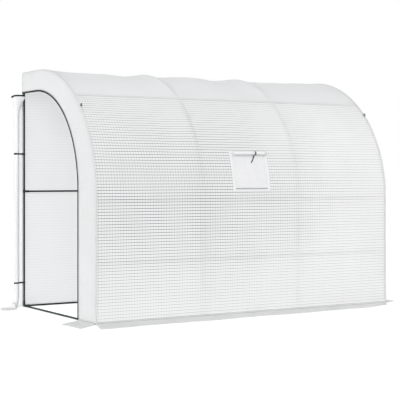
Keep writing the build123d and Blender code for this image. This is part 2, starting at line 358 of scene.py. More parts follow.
# %% [markdown]
# ## Finishes
#
# Three effects are used by more than one finish, so each is a node group: the grid of
# reinforcing threads in the cloth, the faint crumpling of a sheet that was folded in its box,
# and the dust and handling marks on everything. A group gives out only masks and heights. The
# shaders, which say how light behaves, stay in each material.


# %% Helpers for node groups
def new_group(name, numbers, results):
    """Node group that takes a vector and these numbers, with the sockets of its two ends."""
    group = bpy.data.node_groups.new(name, "ShaderNodeTree")
    group.interface.new_socket("Vector", in_out="INPUT", socket_type="NodeSocketVector")
    for label, value in numbers.items():
        socket = group.interface.new_socket(label, in_out="INPUT", socket_type="NodeSocketFloat")
        socket.default_value = value
    for label in results:
        group.interface.new_socket(label, in_out="OUTPUT", socket_type="NodeSocketFloat")
    given, result = group.nodes.new("NodeGroupInput"), group.nodes.new("NodeGroupOutput")
    return group, given.outputs, result.inputs


def noise(tree, vector, scale, detail=3.0, roughness=0.5):
    """Noise on this vector, with values about a half."""
    inputs = {"Vector": vector, "Scale": scale, "Detail": detail, "Roughness": roughness}
    return add(tree, "ShaderNodeTexNoise", inputs).outputs[0]


print("group helpers ready")

# %% [markdown]
# ### Groups
#
# The cloth is a clear film with flat threads in it. The photograph shows the threads that run
# along the tunnel as fine grey lines everywhere, and the upright ones only where the cloth is
# near. A thread is a band of a saw-tooth: the distance from the nearest whole number of
# pitches, compared with the thread's half width. Every second thread is the heavier one.

# %% Group: woven threads
THREAD_EDGE = 0.07
FINE_THREAD_SHARE = 0.45


def woven_threads_group():
    """Masks of the threads of a woven film, from a vector in metres on the cloth."""
    group, given, result = new_group(
        "woven_threads", {"Pitch": 0.025, "Wide": 0.20, "Fine": 0.08, "Upright": 0.6},
        ["Threads", "Height"],
    )
    parts = add(group, "ShaderNodeSeparateXYZ", {0: given["Vector"]}).outputs

    def band(coordinate, offset, half_width):
        """One on a thread and nought between threads, with a soft edge."""
        turns = maths(group, "DIVIDE", coordinate, given["Pitch"])
        saw = maths(group, "PINGPONG", maths(group, "ADD", turns, offset), 0.5)
        outside = maths(group, "ADD", half_width, THREAD_EDGE)
        return ranged(group, saw, 1.0, 0.0, half_width, outside, smooth=True)

    def set_of_threads(coordinate):
        """Heavier threads with finer ones half-way between them."""
        fine = maths(group, "MULTIPLY", band(coordinate, 0.5, given["Fine"]), FINE_THREAD_SHARE)
        return maths(group, "MAXIMUM", band(coordinate, 0.0, given["Wide"]), fine)

    along = set_of_threads(parts["Y"])
    upright = maths(group, "MULTIPLY", set_of_threads(parts["X"]), given["Upright"])
    threads = maths(group, "MAXIMUM", along, upright)
    crossing = maths(group, "MULTIPLY", maths(group, "MULTIPLY", along, upright), 0.5)
    group.links.new(threads, result["Threads"])
    group.links.new(maths(group, "ADD", threads, crossing), result["Height"])
    return group


WOVEN_THREADS = woven_threads_group()
print("woven threads:", len(WOVEN_THREADS.nodes), "nodes")

# %% [markdown]
# The sheet came folded in a box, and its creases never quite leave it. A crease is a sharp line
# in a soft surface. Noise is soft everywhere, but its distance from its own middle has a sharp
# valley wherever it crosses that middle, and such valleys look like creases.

# %% Group: crumpled sheet
FINE_CREASES = 4.3
FINE_CREASE_SHARE = 0.25


def crumple_group():
    """Height of faint creases: a broad and a fine noise, each folded about its middle."""
    group, given, result = new_group("crumple", {"Scale": 6.0}, ["Height"])

    def folded(scale, detail):
        """How far a noise is from its middle."""
        level = maths(group, "SUBTRACT", noise(group, given["Vector"], scale, detail), 0.5)
        return maths(group, "ABSOLUTE", level)

    fine = folded(maths(group, "MULTIPLY", given["Scale"], FINE_CREASES), 3.0)
    total = maths(group, "MULTIPLY_ADD", fine, FINE_CREASE_SHARE, folded(given["Scale"], 2.0))
    group.links.new(total, result["Height"])
    return group


CRUMPLE = crumple_group()
print("crumple:", len(CRUMPLE.nodes), "nodes")

# %% [markdown]
# What stands outdoors picks up dust in soft patches, and rain splashes soil against its foot.
# One mask holds both: a noise cut at a level, and the noise once more in the lowest third of a
# metre. Each finish says how much of it shows, and in what colour.

# %% Group: dust and handling marks
PATCH_FROM, PATCH_TO = 0.45, 0.75
SPLASH_HEIGHT = 0.35


def marks_group():
    """Mask of soft patches of dust, stronger near the ground, from a vector in metres."""
    group, given, result = new_group("handling_marks", {"Scale": 3.0, "Splash": 0.25}, ["Mask"])
    patches = noise(group, given["Vector"], given["Scale"], 5.0, 0.6)
    soft = ranged(group, patches, start=PATCH_FROM, end=PATCH_TO)
    height = add(group, "ShaderNodeSeparateXYZ", {0: given["Vector"]}).outputs["Z"]
    low = ranged(group, height, 1.0, 0.0, end=SPLASH_HEIGHT)
    near_ground = maths(group, "MULTIPLY", low, given["Splash"])
    mask = maths(group, "MULTIPLY_ADD", patches, near_ground, soft, clamp=True)
    group.links.new(mask, result["Mask"])
    return group


MARKS = marks_group()
print("marks:", len(MARKS.nodes), "nodes")

# %% [markdown]
# ### What the finishes share
#
# Every finish starts from an empty tree and coordinates in metres on the piece. Its body is a
# Principled shader whose colour, roughness and normal come from the masks. A thin sheet mixes
# two more shaders with it, for the light that it scatters through and lets through.

# %% Helpers for materials
MIX_COLOURS, MIX_RESULT = (6, 7), 2


def new_material(name):
    """Material with an empty tree and the sockets of its coordinates."""
    material = bpy.data.materials.new(name)
    tree = empty_tree(material)
    return material, tree, tree.nodes.new("ShaderNodeTexCoord").outputs


def placed(tree, group, vector, **values):
    """Results of a node group fed by this vector, with its own values."""
    return add(tree, "ShaderNodeGroup", {"Vector": vector, **values}, node_tree=group).outputs


def mixed_colour(tree, mask, *colours):
    """Colour that goes from the first to the second as the mask goes from nought to one."""
    inputs = {"Factor": mask, **dict(zip(MIX_COLOURS, colours))}
    return add(tree, "ShaderNodeMix", inputs, data_type="RGBA").outputs[MIX_RESULT]


def bumped(tree, height, distance, strength, **under):
    """Normal of a Bump node, laid over another Normal if one is given."""
    inputs = {"Height": height, "Distance": distance, "Strength": strength, **under}
    return add(tree, "ShaderNodeBump", inputs).outputs["Normal"]


def principled(tree, colour, roughness, normal, **more):
    """Principled shader."""
    inputs = {"Base Color": colour, "Roughness": roughness, "Normal": normal, **more}
    return add(tree, "ShaderNodeBsdfPrincipled", inputs)


def thin_sheet(tree, body, colour, through, clear):
    """Ends the tree of a thin sheet: a body, a part scattered through and a part let through."""
    glow = add(tree, "ShaderNodeBsdfTranslucent", {"Color": colour})
    lit = blended(tree, through, body, glow)
    seen = blended(tree, clear, lit, add(tree, "ShaderNodeBsdfTransparent"))
    add(tree, "ShaderNodeOutputMaterial", {"Surface": seen})


print("material helpers ready")

# %% [markdown]
# ### Woven film
#
# Light meets the film in three ways. Some is sent back, which shows the sheet's colour. Some
# passes and is scattered, which is why the inside is bright. A little goes straight through
# the clear squares between the threads, and shows the frame behind as a faint shadow. The
# Principled, Translucent and Transparent shaders are one each of these, mixed in that order.
#
# On the front the threads stand out most to the left of the middle and fade away from there.
# Real cloth is even, and the picture owes this to its light and its lens. A mask on the
# threads' colour is the plainest way to the same look.

# %% Threads that fade
THREADS_AT = (-0.75, -0.60, 1.08)
THREADS_REACH = (1.7, 3.0, 0.84)
THREADS_LEAST = 0.48
FADE_FROM, FADE_TO = 0.45, 1.55
FADE_NOISE, FADE_UNEVEN = 2.2, 0.5


def seen_threads(tree, where, threads):
    """Threads that stand out round the middle left of the front and fade away from it.

    The mask is one minus a smooth step of the distance, which is shortened along the tunnel
    and made uneven with a slow noise.
    """
    away = add(tree, "ShaderNodeVectorMath", {0: where, 1: THREADS_AT}, operation="SUBTRACT")
    scaled = add(tree, "ShaderNodeVectorMath", {0: away, 1: [1 / r for r in THREADS_REACH]},
                 operation="MULTIPLY")
    far = add(tree, "ShaderNodeVectorMath", {0: scaled}, operation="LENGTH").outputs["Value"]
    uneven = maths(tree, "MULTIPLY_ADD", noise(tree, where, FADE_NOISE), FADE_UNEVEN, far)
    fade = ranged(tree, uneven, 1.0, THREADS_LEAST, FADE_FROM, FADE_TO, smooth=True)
    return maths(tree, "MULTIPLY", threads, fade)


print("threads fade to", THREADS_LEAST, "of their strength")

# %% Woven film
FILM_ROUGH, THREAD_ROUGH = 0.34, 0.62
CREASE_BUMP, THREAD_BUMP = (0.004, 0.35), (0.0005, 0.5)
DUST_COLOUR, DUST_MOST = (0.55, 0.54, 0.50), 0.10


def woven_film(name, film, thread, through, clear, thread_clear, wide, fine, upright, marks=0.5,
               fading=False):
    """Cloth with a film colour, a thread colour, and how much light passes it."""
    material, tree, where = new_material(name)
    weave = placed(tree, WOVEN_THREADS, where["UV"], Wide=wide, Fine=fine, Upright=upright)
    crumple = placed(tree, CRUMPLE, where["Object"], Scale=5.0)
    dust = placed(tree, MARKS, where["Object"], Splash=0.5)
    threads = weave["Threads"]
    seen = seen_threads(tree, where["Object"], threads) if fading else threads
    marked = maths(tree, "MULTIPLY", dust["Mask"], marks * DUST_MOST)
    colour = mixed_colour(tree, marked, mixed_colour(tree, seen, film, thread), DUST_COLOUR)
    creased = bumped(tree, crumple["Height"], *CREASE_BUMP)
    body = principled(tree, colour, ranged(tree, threads, FILM_ROUGH, THREAD_ROUGH),
                      bumped(tree, weave["Height"], *THREAD_BUMP, Normal=creased))
    thin_sheet(tree, body, colour, through, ranged(tree, threads, clear, thread_clear))
    return material


print("woven film ready")

# %% [markdown]
# One recipe makes every cloth of the tunnel, and the cloths differ in how they are seen. The
# cover lies over the dark frame. The rear sheet is seen from inside, with the light behind it.
# The bands at the roof and the ends are smooth film. A roll is many layers and lets nothing
# through, while the lead between the post and the roll is a single clear layer.

# %% Cloths of the tunnel
# The threads are as white as the film. The grey of each thread colour, nearly black on the cover,
# is painted shade.
COVER_CLOTH = woven_film("cover_cloth", film=(0.980, 0.982, 0.985), thread=(0.02, 0.023, 0.03),
                         through=0.26, clear=0.17, thread_clear=0.02, wide=0.041, fine=0.0,
                         upright=0.46, fading=True)
REAR_CLOTH = woven_film("rear_cloth", film=(0.965, 0.968, 0.972), thread=(0.64, 0.645, 0.66),
                        through=0.72, clear=0.34, thread_clear=0.10, wide=0.045, fine=0.0,
                        upright=0.6)
END_CLOTH = woven_film("end_cloth", film=(0.925, 0.928, 0.932), thread=(0.85, 0.855, 0.86),
                       through=0.40, clear=0.08, thread_clear=0.03, wide=0.08, fine=0.03,
                       upright=0.7)
ROLLED_CLOTH = woven_film("rolled_cloth", film=(0.955, 0.958, 0.962), thread=(0.88, 0.883, 0.888),
                          through=0.25, clear=0.0, thread_clear=0.0, wide=0.09, fine=0.05,
                          upright=0.8)
SINGLE_CLOTH = woven_film("single_cloth", film=(0.97, 0.973, 0.976), thread=(0.88, 0.885, 0.89),
                          through=0.60, clear=0.74, thread_clear=0.66, wide=0.06, fine=0.0,
                          upright=0.7)
CLOTHS = (COVER_CLOTH, REAR_CLOTH, END_CLOTH, ROLLED_CLOTH, SINGLE_CLOTH)
print("cloths:", [cloth.name for cloth in CLOTHS])

# %% [markdown]
# ### Hard and narrow finishes
#
# The tubes are powder coated in a green so dark that it reads as black. Powder coat has a fine
# orange peel and wears to a duller, paler tone. The peel is a fine noise, and the wear is the
# same group of marks that dusts the cloth.

# %% Powder coat
COAT_ROUGH, WORN_ROUGH = 0.42, 0.62
COAT_GLOSS = 0.28
PEEL_SCALE, PEEL_BUMP = 900.0, (0.0002, 0.4)


def coated_steel(name, colour, worn):
    """Powder coat: small bumps, patches of wear and a soft gloss."""
    material, tree, where = new_material(name)
    dust = placed(tree, MARKS, where["Object"], Scale=9.0, Splash=0.6)["Mask"]
    peel = bumped(tree, noise(tree, where["Object"], PEEL_SCALE, 2.0), *PEEL_BUMP)
    steel = principled(tree, mixed_colour(tree, dust, colour, worn),
                       ranged(tree, dust, COAT_ROUGH, WORN_ROUGH), peel,
                       **{"Specular IOR Level": COAT_GLOSS})
    add(tree, "ShaderNodeOutputMaterial", {"Surface": steel})
    return material


TUBE_PAINT = coated_steel("tube_paint", (0.004, 0.014, 0.010), (0.012, 0.024, 0.020))
FITTING_PAINT = coated_steel("fitting_paint", (0.005, 0.014, 0.011), (0.018, 0.028, 0.024))
print("paints:", TUBE_PAINT.name, FITTING_PAINT.name)

# %% [markdown]
# The zip tape and the straps are woven too, but so fine that no thread is seen from here. A
# slanting stripe of two millimetres is enough, with a painted highlight that makes its ribs
# a little lighter.

# %% Straps, zip and tape
RIB_BUMP = (0.0004, 0.6)
RIB_SMOOTHER = 0.15
TAPE_GLOSS = 0.25
TAPE_DUST = 0.12


def striped_tape(name, colour, light, pitch, roughness=0.7):
    """Woven tape: fine ribs across, with a painted highlight that makes their tops lighter."""
    material, tree, where = new_material(name)
    ribs = add(tree, "ShaderNodeTexWave",
               {"Vector": where["Object"], "Scale": 1.0 / pitch, "Distortion": 0.6},
               wave_type="BANDS", bands_direction="DIAGONAL").outputs["Fac"]
    dust = placed(tree, MARKS, where["Object"], Scale=20.0)["Mask"]
    paler = [0.5 * c + 0.25 for c in light]
    # The lighter rib colour is a painted highlight on the tops of the ribs.
    tone = mixed_colour(tree, maths(tree, "MULTIPLY", dust, TAPE_DUST),
                        mixed_colour(tree, ribs, colour, light), paler)
    tape = principled(tree, tone, ranged(tree, ribs, roughness, roughness - RIB_SMOOTHER),
                      bumped(tree, ribs, *RIB_BUMP), **{"Specular IOR Level": TAPE_GLOSS})
    add(tree, "ShaderNodeOutputMaterial", {"Surface": tape})
    return material


ZIP_TAPE = striped_tape("zip_tape", (0.002, 0.016, 0.010), (0.004, 0.028, 0.019), 0.0022)
ZIP_TEETH = striped_tape("zip_teeth", (0.006, 0.008, 0.008), (0.018, 0.022, 0.020), 0.0030, 0.5)
BLACK_STRAP = striped_tape("black_strap", (0.005, 0.005, 0.006), (0.014, 0.014, 0.015), 0.0026)
WHITE_TAPE = striped_tape("white_tape", (0.70, 0.705, 0.71), (0.77, 0.775, 0.78), 0.0024, 0.6)
GREY_TAPE = striped_tape("grey_tape", (0.30, 0.305, 0.31), (0.42, 0.425, 0.43), 0.0024, 0.75)
print("tapes:", [tape.name for tape in (ZIP_TAPE, ZIP_TEETH, BLACK_STRAP, WHITE_TAPE, GREY_TAPE)])

# %% [markdown]
# ## The cover
#
# One sheet runs from the ground behind, over the roof, down the curve and to the ground in
# front. It is held by the hoops and by the rails along the tunnel, and hangs a little between
# them: up to 27 mm on the roof, where nothing carries it for a metre, and a few millimetres on
# the front. Places on it are given by a length, from the ground behind to the ground in
# front, and by X.


# %% Where the cover is held
def front_length(z):
    """Length along the cover of the front point at height z.

    On the upright part it is the whole length less the height. On the curve it is the radius
    times the angle whose cosine is the height above the spring over the radius.
    """
    if z <= SPRING_Z:
        return COVER_LENGTH - z
    return CURVE_S + ARCH_R * np.arccos((z - SPRING_Z) / ARCH_R)


PURLIN_ANGLE = np.radians(39.5)
PURLIN_S = CURVE_S + ARCH_R * PURLIN_ANGLE
HELD_AT = np.array([0.0, middle("rear_middle_rails")[2], cover_marks[1], PURLIN_S,
                    front_length(middle("front_middle_rails")[2]),
                    front_length(middle("front_low_rails")[2]), COVER_LENGTH])
print("cover held at", np.round(HELD_AT, 3))

# %% [markdown]
# In the photograph the roof sags unevenly. It is deepest just before the second hoop and just
# after both inner hoops, and it puffs up in the middle bay. So each bay has a few depths of
# its own. Straight lines between them would show as kinks and a spline would overshoot, so
# each pair is joined by a curve that is level at both, steep only where it leaves a hoop.

# %% Sag of the roof
ROOF_SAG_MM = [
    [(0.00, 0), (0.34, 15), (0.55, 16), (0.78, 27), (1.00, 0)],
    [(0.00, 0), (0.12, 21), (0.47, 6), (0.76, 25), (1.00, 0)],
    [(0.00, 0), (0.15, 21), (0.57, 15), (0.80, 8), (1.00, 0)],
]


def smooth_step(t):
    """Three t squared minus two t cubed."""
    return t * t * (3 - 2 * t)


def zones(marks, values):
    """Number of the zone between marks that each value is in, and its share of the way."""
    zone = np.clip(np.searchsorted(marks, values, side="right") - 1, 0, len(marks) - 2)
    return zone, (values - marks[zone]) / (marks[zone + 1] - marks[zone])


def bay_sag(knots, share):
    """Depth in millimetres at a share of a bay.

    From a hoop to the first depth it is a quarter sine, which leaves the hoop steeply. Between
    two depths it is the smooth step.
    """
    at, depth = np.array(knots, float).T
    zone, t = zones(at, share)
    step = np.where(zone == 0, np.sin(t * np.pi / 2), smooth_step(t))
    step = np.where(zone == len(at) - 2, 1 - np.cos(t * np.pi / 2), step)
    return depth[zone] + (depth[zone + 1] - depth[zone]) * step


print("half-way sag in mm:", [round(float(bay_sag(knots, np.array(0.5))), 1)
                              for knots in ROOF_SAG_MM])

# %% [markdown]
# Now the sag becomes a surface: one number for each point, how far it is pushed along the
# outline's normal. A cloth simulation could find such a number too, but it would take long and
# would not fold as the photograph does. On the curve the sag fades below the purlin, and the
# crest over an inner hoop drifts sideways, as if the cloth was pulled along from one side.

# %% Lift of the cloth
# Depth in metres between two places where the cloth is held. On the roof, the third, it is
# the depth for one millimetre of sag.
HANG = np.array([0.004, 0.004, 0.001, 0.012, 0.004, 0.004])
ROOF, UNDER_PURLIN = 2, 3
PLAIN_SHARE, SAG_SHARE = 0.3, 0.050
CREASE_DRIFT = 0.030
DRIFT_UNTIL = 0.9 * ARCH_R
FULLNESS = 0.8
CLOTH_GAP = 0.0003
PULL = 0.0012
PULL_WAVES = [(1.0, 9.0, 6.0, 0.0), (0.7, 21.0, -5.0, 1.0), (0.5, 5.0, -17.0, 2.0)]


def waves(table, u, v):
    """Sum of slanting waves: a height times the sine of a times u plus b times v plus a phase."""
    return sum(height * np.sin(a * u + b * v + phase) for height, a, b, phase in table)


def lift(s, x):
    """How far the cloth stands out from its outline, in metres and mostly inwards.

    Between two rails it is the depth times a power of the sine of pi times the share of the
    way. Along the tunnel the depth follows each bay's sag on the roof, and the sine of pi
    times the share of the bay further down. Under the purlin a part of the sag is left and
    fades with the square of the way. The crest over an inner hoop drifts sideways as it comes
    down the curve, and beside a hoop the cloth is never deeper than the round of the tube: the
    distance squared over twice the tube's radius. Three slanting waves of a millimetre add the
    uneven pull of a cloth that was tied by hand.
    """
    s, x = np.broadcast_arrays(np.asarray(s, float), np.asarray(x, float))
    drift = CREASE_DRIFT * smooth_step(np.clip((s - CURVE_S) / DRIFT_UNTIL, 0, 1))
    second, third = HOOP_XS[1] - drift, HOOP_XS[2] - drift
    bay = (x > second).astype(int) + (x > third)
    start = np.choose(bay, [-END_X + 0 * drift, second, third])
    end = np.choose(bay, [second, third, END_X + 0 * drift])
    share = np.clip((x - start) / (end - start), 0, 1)
    sag = np.choose(bay, [bay_sag(knots, share) for knots in ROOF_SAG_MM])
    zone, part = zones(HELD_AT, s)
    part = np.clip(part, 0, 1)
    plain = np.sin(np.pi * share)
    across = np.where(zone == ROOF, sag, plain)
    across = np.where(zone == UNDER_PURLIN,
                      PLAIN_SHARE * plain + SAG_SHARE * sag * (1 - part) ** 2, across)
    hang = HANG[zone] * across * np.sin(np.pi * part) ** FULLNESS
    beside = np.abs(x[..., None] - np.array(HOOP_XS)).min(axis=-1)
    hang = np.minimum(hang, CLOTH_GAP + beside ** 2 / (2 * TUBE_R))
    return -hang + PULL * waves(PULL_WAVES, x, s) * plain * np.sin(np.pi * part)


def at_x(x, yz):
    """Points with this X, or one X each, from points in the plane across the tunnel."""
    return np.concatenate([np.broadcast_to(x, yz.shape[:-1])[..., None], yz], axis=-1)


def on_cover(s, x, out=0.0):
    """Points of the cover at lengths s and places x, `out` metres outside it.

    A point is the outline's point plus its normal times the sum of the lift and `out`.
    """
    s, x = np.broadcast_arrays(np.asarray(s, float), np.asarray(x, float))
    yz, normals = cover_at(s)
    return at_x(x, yz + normals * (lift(s, x) + out)[..., None])


print("lift in the middle of the roof:",
      round(float(lift((cover_marks[1] + PURLIN_S) / 2, 0.0)) * 1000, 1), "mm")

# %% [markdown]
# The cover is one grid over length and X. Its rows and columns meet every rail, both edges of
# the window and the hoops, with more columns close to a hoop, where the cloth bends most. The
# quads inside the window are left out. Each face then gets the cloth of its part.


# %% Window opening and the sheet itself
def set_materials(piece, number_of_face):
    """Gives every face of a piece the material with this number."""
    piece.data.polygons.foreach_set("material_index", number_of_face.ravel().astype(np.int32))


window_low, window_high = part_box("window_netting")
WINDOW_X = window_high.x + CLOTH_GAP
WINDOW_S = (front_length(window_high.z + CLOTH_GAP), front_length(window_low.z - CLOTH_GAP))
EDGE_INSET = 0.0033
COVER_X = END_X - EDGE_INSET
GRID_STEP = 0.024
BESIDE_HOOP = (-0.024, -0.014, -0.006, 0.0, 0.006, 0.014, 0.024)

cover_s = stations([*cover_marks[:4], PURLIN_S, *WINDOW_S, *cover_marks[4:]], GRID_STEP)
second, third = ([hoop + d for d in BESIDE_HOOP] for hoop in HOOP_XS[1:3])
cover_x = stations([-COVER_X, *second, -WINDOW_X, WINDOW_X, *third, COVER_X], GRID_STEP)
S, X = np.meshgrid(cover_s, cover_x, indexing="ij")
cover_faces = grid_faces(*S.shape)
middle_s, middle_x = (grid.ravel()[cover_faces].mean(axis=1) for grid in (S, X))
in_window = (middle_s > WINDOW_S[0]) & (middle_s < WINDOW_S[1]) & (np.abs(middle_x) < WINDOW_X)
cover = make_piece("cover_sheet", [(on_cover(S, X), cover_faces[~in_window])], COVER_CLOTH,
                   uv=np.stack([X, S], axis=-1), thickness=CLOTH_T)
cover.data.materials.append(END_CLOTH)
cover.data.materials.append(REAR_CLOTH)
cloth_of_face = np.select([middle_s < cover_marks[1], middle_s < PURLIN_S], [2, 1], 0)
set_materials(cover, cloth_of_face[~in_window])
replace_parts(cover, *[f"{part}_cover_{bay}" for part in ("roof", "front", "rear")
                     for bay in ("left", "middle", "right")])
print("cover:", len(cover.data.polygons), "faces")

# %% [markdown]
# ## Hoops, posts and rails
#
# All tubes are round steel. Each hoop has a rear post and a front post, and a bent tube that
# runs from the front post's joint up the curve and back along the roof. In CAD the tubes have
# eight flats to stay light. Here a circle is carried along the same lines.
#
# A Curve with a bevel would do for the tubes. The helper below works for any profile, so it
# makes the tapes, straps, bindings and loops as well, and its mesh is final.


# %% A profile carried along a path
def carried(profile, path, across, up, closed_path=False):
    """Shell of a closed profile carried along a path, with caps if the path is open.

    A point is the path's point plus the profile's first number times the way across plus its
    second number times the way up. The profile is turned over where its faces would look
    inwards, which the signs of its area and of the three ways tell.
    """
    profile, path = np.asarray(profile, float), np.asarray(path, float)
    across, up = np.broadcast_to(across, path.shape), np.broadcast_to(up, path.shape)
    ahead = np.roll(profile, -1, axis=0)
    area = (profile[:, 0] * ahead[:, 1] - ahead[:, 0] * profile[:, 1]).sum()
    if area * np.dot(np.cross(path[1] - path[0], across[0]), up[0]) > 0:
        profile = profile[::-1]
    points = (path[:, None] + profile[None, :, 0, None] * across[:, None]
              + profile[None, :, 1, None] * up[:, None])
    rows, cols = points.shape[:2]
    faces = [tuple(face) for face in grid_faces(rows, cols, closed_path, True)]
    if not closed_path:
        faces.append(tuple(range(cols)))
        faces.append(tuple(range((rows - 1) * cols, rows * cols))[::-1])
    return points, faces


def ring_angles(sides):
    """Angles of the corners of a ring."""
    return np.arange(sides) / sides * 2 * np.pi


def ring_profile(radius, sides):
    """Corners of a circle, in order."""
    angle = ring_angles(sides)
    return np.stack([np.cos(angle), np.sin(angle)], axis=-1) * radius


print("a ring of 6 has corners", np.round(ring_profile(1.0, 6), 2).tolist())

# %% Round tubes
TUBE_SIDES = 20
RAIL_GAP = 0.0122
PATH_STEP = 0.03


def tube_piece(node, shells):
    """Round tube in the place of a CAD node."""
    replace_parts(make_piece(f"{node}_round", shells, TUBE_PAINT, sharp=50), node)


def straight_tube(node):
    """Round bars in place of a CAD node's straight tubes, one for each of its loose lengths.

    A bar's path goes through the middle of the node's box along its longest side. Along the
    tunnel it runs from hoop to hoop, less a gap at each end.
    """
    low, high = (np.array(corner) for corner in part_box(node))
    axis = int(np.argmax(high - low))
    across, up = (np.eye(3)[i] for i in range(3) if i != axis)
    if np.cross(across, up)[axis] < 0:
        across, up = up, across
    spans = [(low[axis], high[axis])]
    if axis == 0:
        spans = [(a + RAIL_GAP, b - RAIL_GAP) for a, b in zip(HOOP_XS[:-1], HOOP_XS[1:])]
    shells = []
    for span in spans:
        path = np.tile((low + high) / 2, (2, 1))
        path[:, axis] = span
        shells.append(carried(ring_profile(TUBE_R, TUBE_SIDES), path, across, up))
    return shells


RAILS = ["rear_ground_rails", "rear_middle_rails", "rear_top_rails", "front_ground_rails",
         "front_low_rails", "front_middle_rails", "roof_purlins", "left_ground_rail",
         "right_ground_rail"]
POSTS = [f"hoop_{i}_{side}_post" for i in (1, 2, 3, 4) for side in ("rear", "front")]
for node in RAILS + POSTS:
    tube_piece(node, straight_tube(node))

TUBE_REAR_Y, TUBE_FRONT_Y = (middle(f"hoop_1_{side}_post")[1] for side in ("rear", "front"))
TUBE_TOP_Z = TOP_Z - (REAR_Y - TUBE_REAR_Y)
arch_low, arch_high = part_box("hoop_1_arch")
hoop_marks, hoop_at = outline([(arch_high.y, TUBE_TOP_Z), (TUBE_FRONT_Y, TUBE_TOP_Z),
                               (TUBE_FRONT_Y, arch_low.z)], [TUBE_TOP_Z - SPRING_Z])
yz, normals = hoop_at(stations(hoop_marks, PATH_STEP))
for i, hoop_x in enumerate(HOOP_XS, start=1):
    tube_piece(f"hoop_{i}_arch", [carried(ring_profile(TUBE_R, TUBE_SIDES), at_x(hoop_x, yz),
                                          (1, 0, 0), at_x(0.0, normals))])
print("tubes:", len(RAILS) + len(POSTS) + len(HOOP_XS))

# %% [markdown]
# ## Fittings
#
# Where tubes meet, each goes into a socket of pressed steel. A socket is a sleeve with a rolled
# lip, and the sleeves of one fitting meet in a rounded knuckle. A sleeve is a profile of
# radius and length turned about its axis. On the way along a hoop, a clip is a short band
# round the tube with a sleeve to each side.

# %% Sleeves and bands
SLEEVE_SIDES = 20
SLEEVE_R = 0.0099
SLEEVE = np.array([(0.0, 0.0083), (0.0, 0.0093), (0.0006, SLEEVE_R), (0.0412, SLEEVE_R),
                   (0.0424, 0.0107), (0.0440, 0.0107), (0.0450, 0.0100), (0.0450, 0.0086)])
BAND = np.array([(-0.0140, 0.0083), (-0.0140, 0.0100), (-0.0128, 0.0106), (-0.0116, 0.0106),
                 (-0.0108, 0.0101), (0.0108, 0.0101), (0.0116, 0.0106), (0.0128, 0.0106),
                 (0.0140, 0.0100), (0.0140, 0.0083)])
JOINT = BAND * (SLEEVE[-1, 0] / BAND[-1, 0], 1.0)


def turned(profile, centre, way, ends_closed=True):
    """A profile of (length along, radius) turned about the line from `centre` along `way`.

    A point is the centre plus the length times the way plus the radius times the cosine and
    the sine of the angle on two ways square to it.
    """
    way = np.asarray(way, float) / np.linalg.norm(way)
    side = np.cross(way, (1.0, 0.0, 0.0) if abs(way[0]) < 0.9 else (0.0, 0.0, 1.0))
    side = side / np.linalg.norm(side)
    angle = ring_angles(SLEEVE_SIDES)[:, None]
    ring = np.cos(angle) * side + np.sin(angle) * np.cross(way, side)
    points = (np.asarray(centre, float) + profile[:, None, 0, None] * way
              + profile[:, None, 1, None] * ring[None])
    return points, grid_faces(len(profile), SLEEVE_SIDES, ends_closed, True)[:, ::-1]


print("a sleeve reaches", 1000 * SLEEVE[-1, 0], "mm and a band", 2000 * BAND[-1, 0], "mm")

# %% [markdown]
# A ball closes the place where the sleeves meet. It is a half circle turned about its own axis,
# and its two poles are single points, so that no hole is left in the mesh.

# %% Knuckles
KNUCKLE_R = 0.0118


def knuckle(centre, radius=KNUCKLE_R):
    """Ball where the sleeves meet: minus the cosine along the axis, the sine away from it."""
    polar = np.linspace(0.0, np.pi, 9)[1:-1]
    profile = np.stack([-np.cos(polar), np.sin(polar)], axis=-1) * radius
    points, faces = turned(profile, centre, (0, 0, 1), ends_closed=False)
    count = len(profile) * SLEEVE_SIDES
    poles = np.asarray(centre, float) + np.array([(0, 0, -radius), (0, 0, radius)])
    ring = np.arange(SLEEVE_SIDES)
    after, low_pole = np.roll(ring, -1), np.full_like(ring, count)
    top = count - SLEEVE_SIDES
    caps = [np.stack([ring, low_pole, after], axis=-1),
            np.stack([ring + top, after + top, low_pole + 1], axis=-1)]
    all_faces = [tuple(face) for group in (faces, *caps) for face in group]
    return np.concatenate([points.reshape(-1, 3), poles]), all_faces


print("a knuckle has", len(knuckle((0, 0, 0))[1]), "faces")

# %% [markdown]
# The fittings stand at the crossings of hoops and rails, so their places are read from the
# hoops and from the middles of the rails. An end hoop has a neighbour on one side only, and at
# the ground its corner turns inwards along the end rail.

# %% Fittings
UP, DOWN, FORWARD, BACK = (0, 0, 1), (0, 0, -1), (0, -1, 0), (0, 1, 0)
DOWN_THE_CURVE = (0.0, -np.cos(PURLIN_ANGLE), -np.sin(PURLIN_ANGLE))
RAIL_RUNS = {"rear_middle_rails": UP, "front_low_rails": UP, "front_middle_rails": UP,
             "roof_purlins": DOWN_THE_CURVE}
ground, top, clips, joints = [], [], [], []
for i, hoop_x in enumerate(HOOP_XS):
    sides = [(-1, 0, 0)] * (i > 0) + [(1, 0, 0)] * (i < len(HOOP_XS) - 1)
    for y, inward in ((TUBE_REAR_Y, FORWARD), (TUBE_FRONT_Y, BACK)):
        centre = (hoop_x, y, SLEEVE_R)
        ways = [UP, *sides] + [inward] * (len(sides) == 1)
        ground.append(knuckle(centre, SLEEVE_R))
        ground += [turned(SLEEVE, centre, way) for way in ways]
    centre = (hoop_x, TUBE_REAR_Y, TUBE_TOP_Z)
    top.append(knuckle(centre))
    top += [turned(SLEEVE, centre, way) for way in (DOWN, FORWARD, *sides)]
    for node, along in RAIL_RUNS.items():
        centre = (hoop_x, *middle(node)[1:])
        clips.append(turned(BAND, centre, along))
        clips += [turned(SLEEVE, centre, way) for way in sides]
    joints.append(turned(JOINT, (hoop_x, TUBE_FRONT_Y, arch_low.z), UP))

for name, shells in (("ground_fittings", ground), ("rear_top_fittings", top),
                     ("rail_clips", clips), ("arch_joints", joints)):
    fitting = make_piece(f"{name}_pressed", shells, FITTING_PAINT, sharp=35)
    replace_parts(fitting, name)
    print(name, len(fitting.data.polygons), "faces")

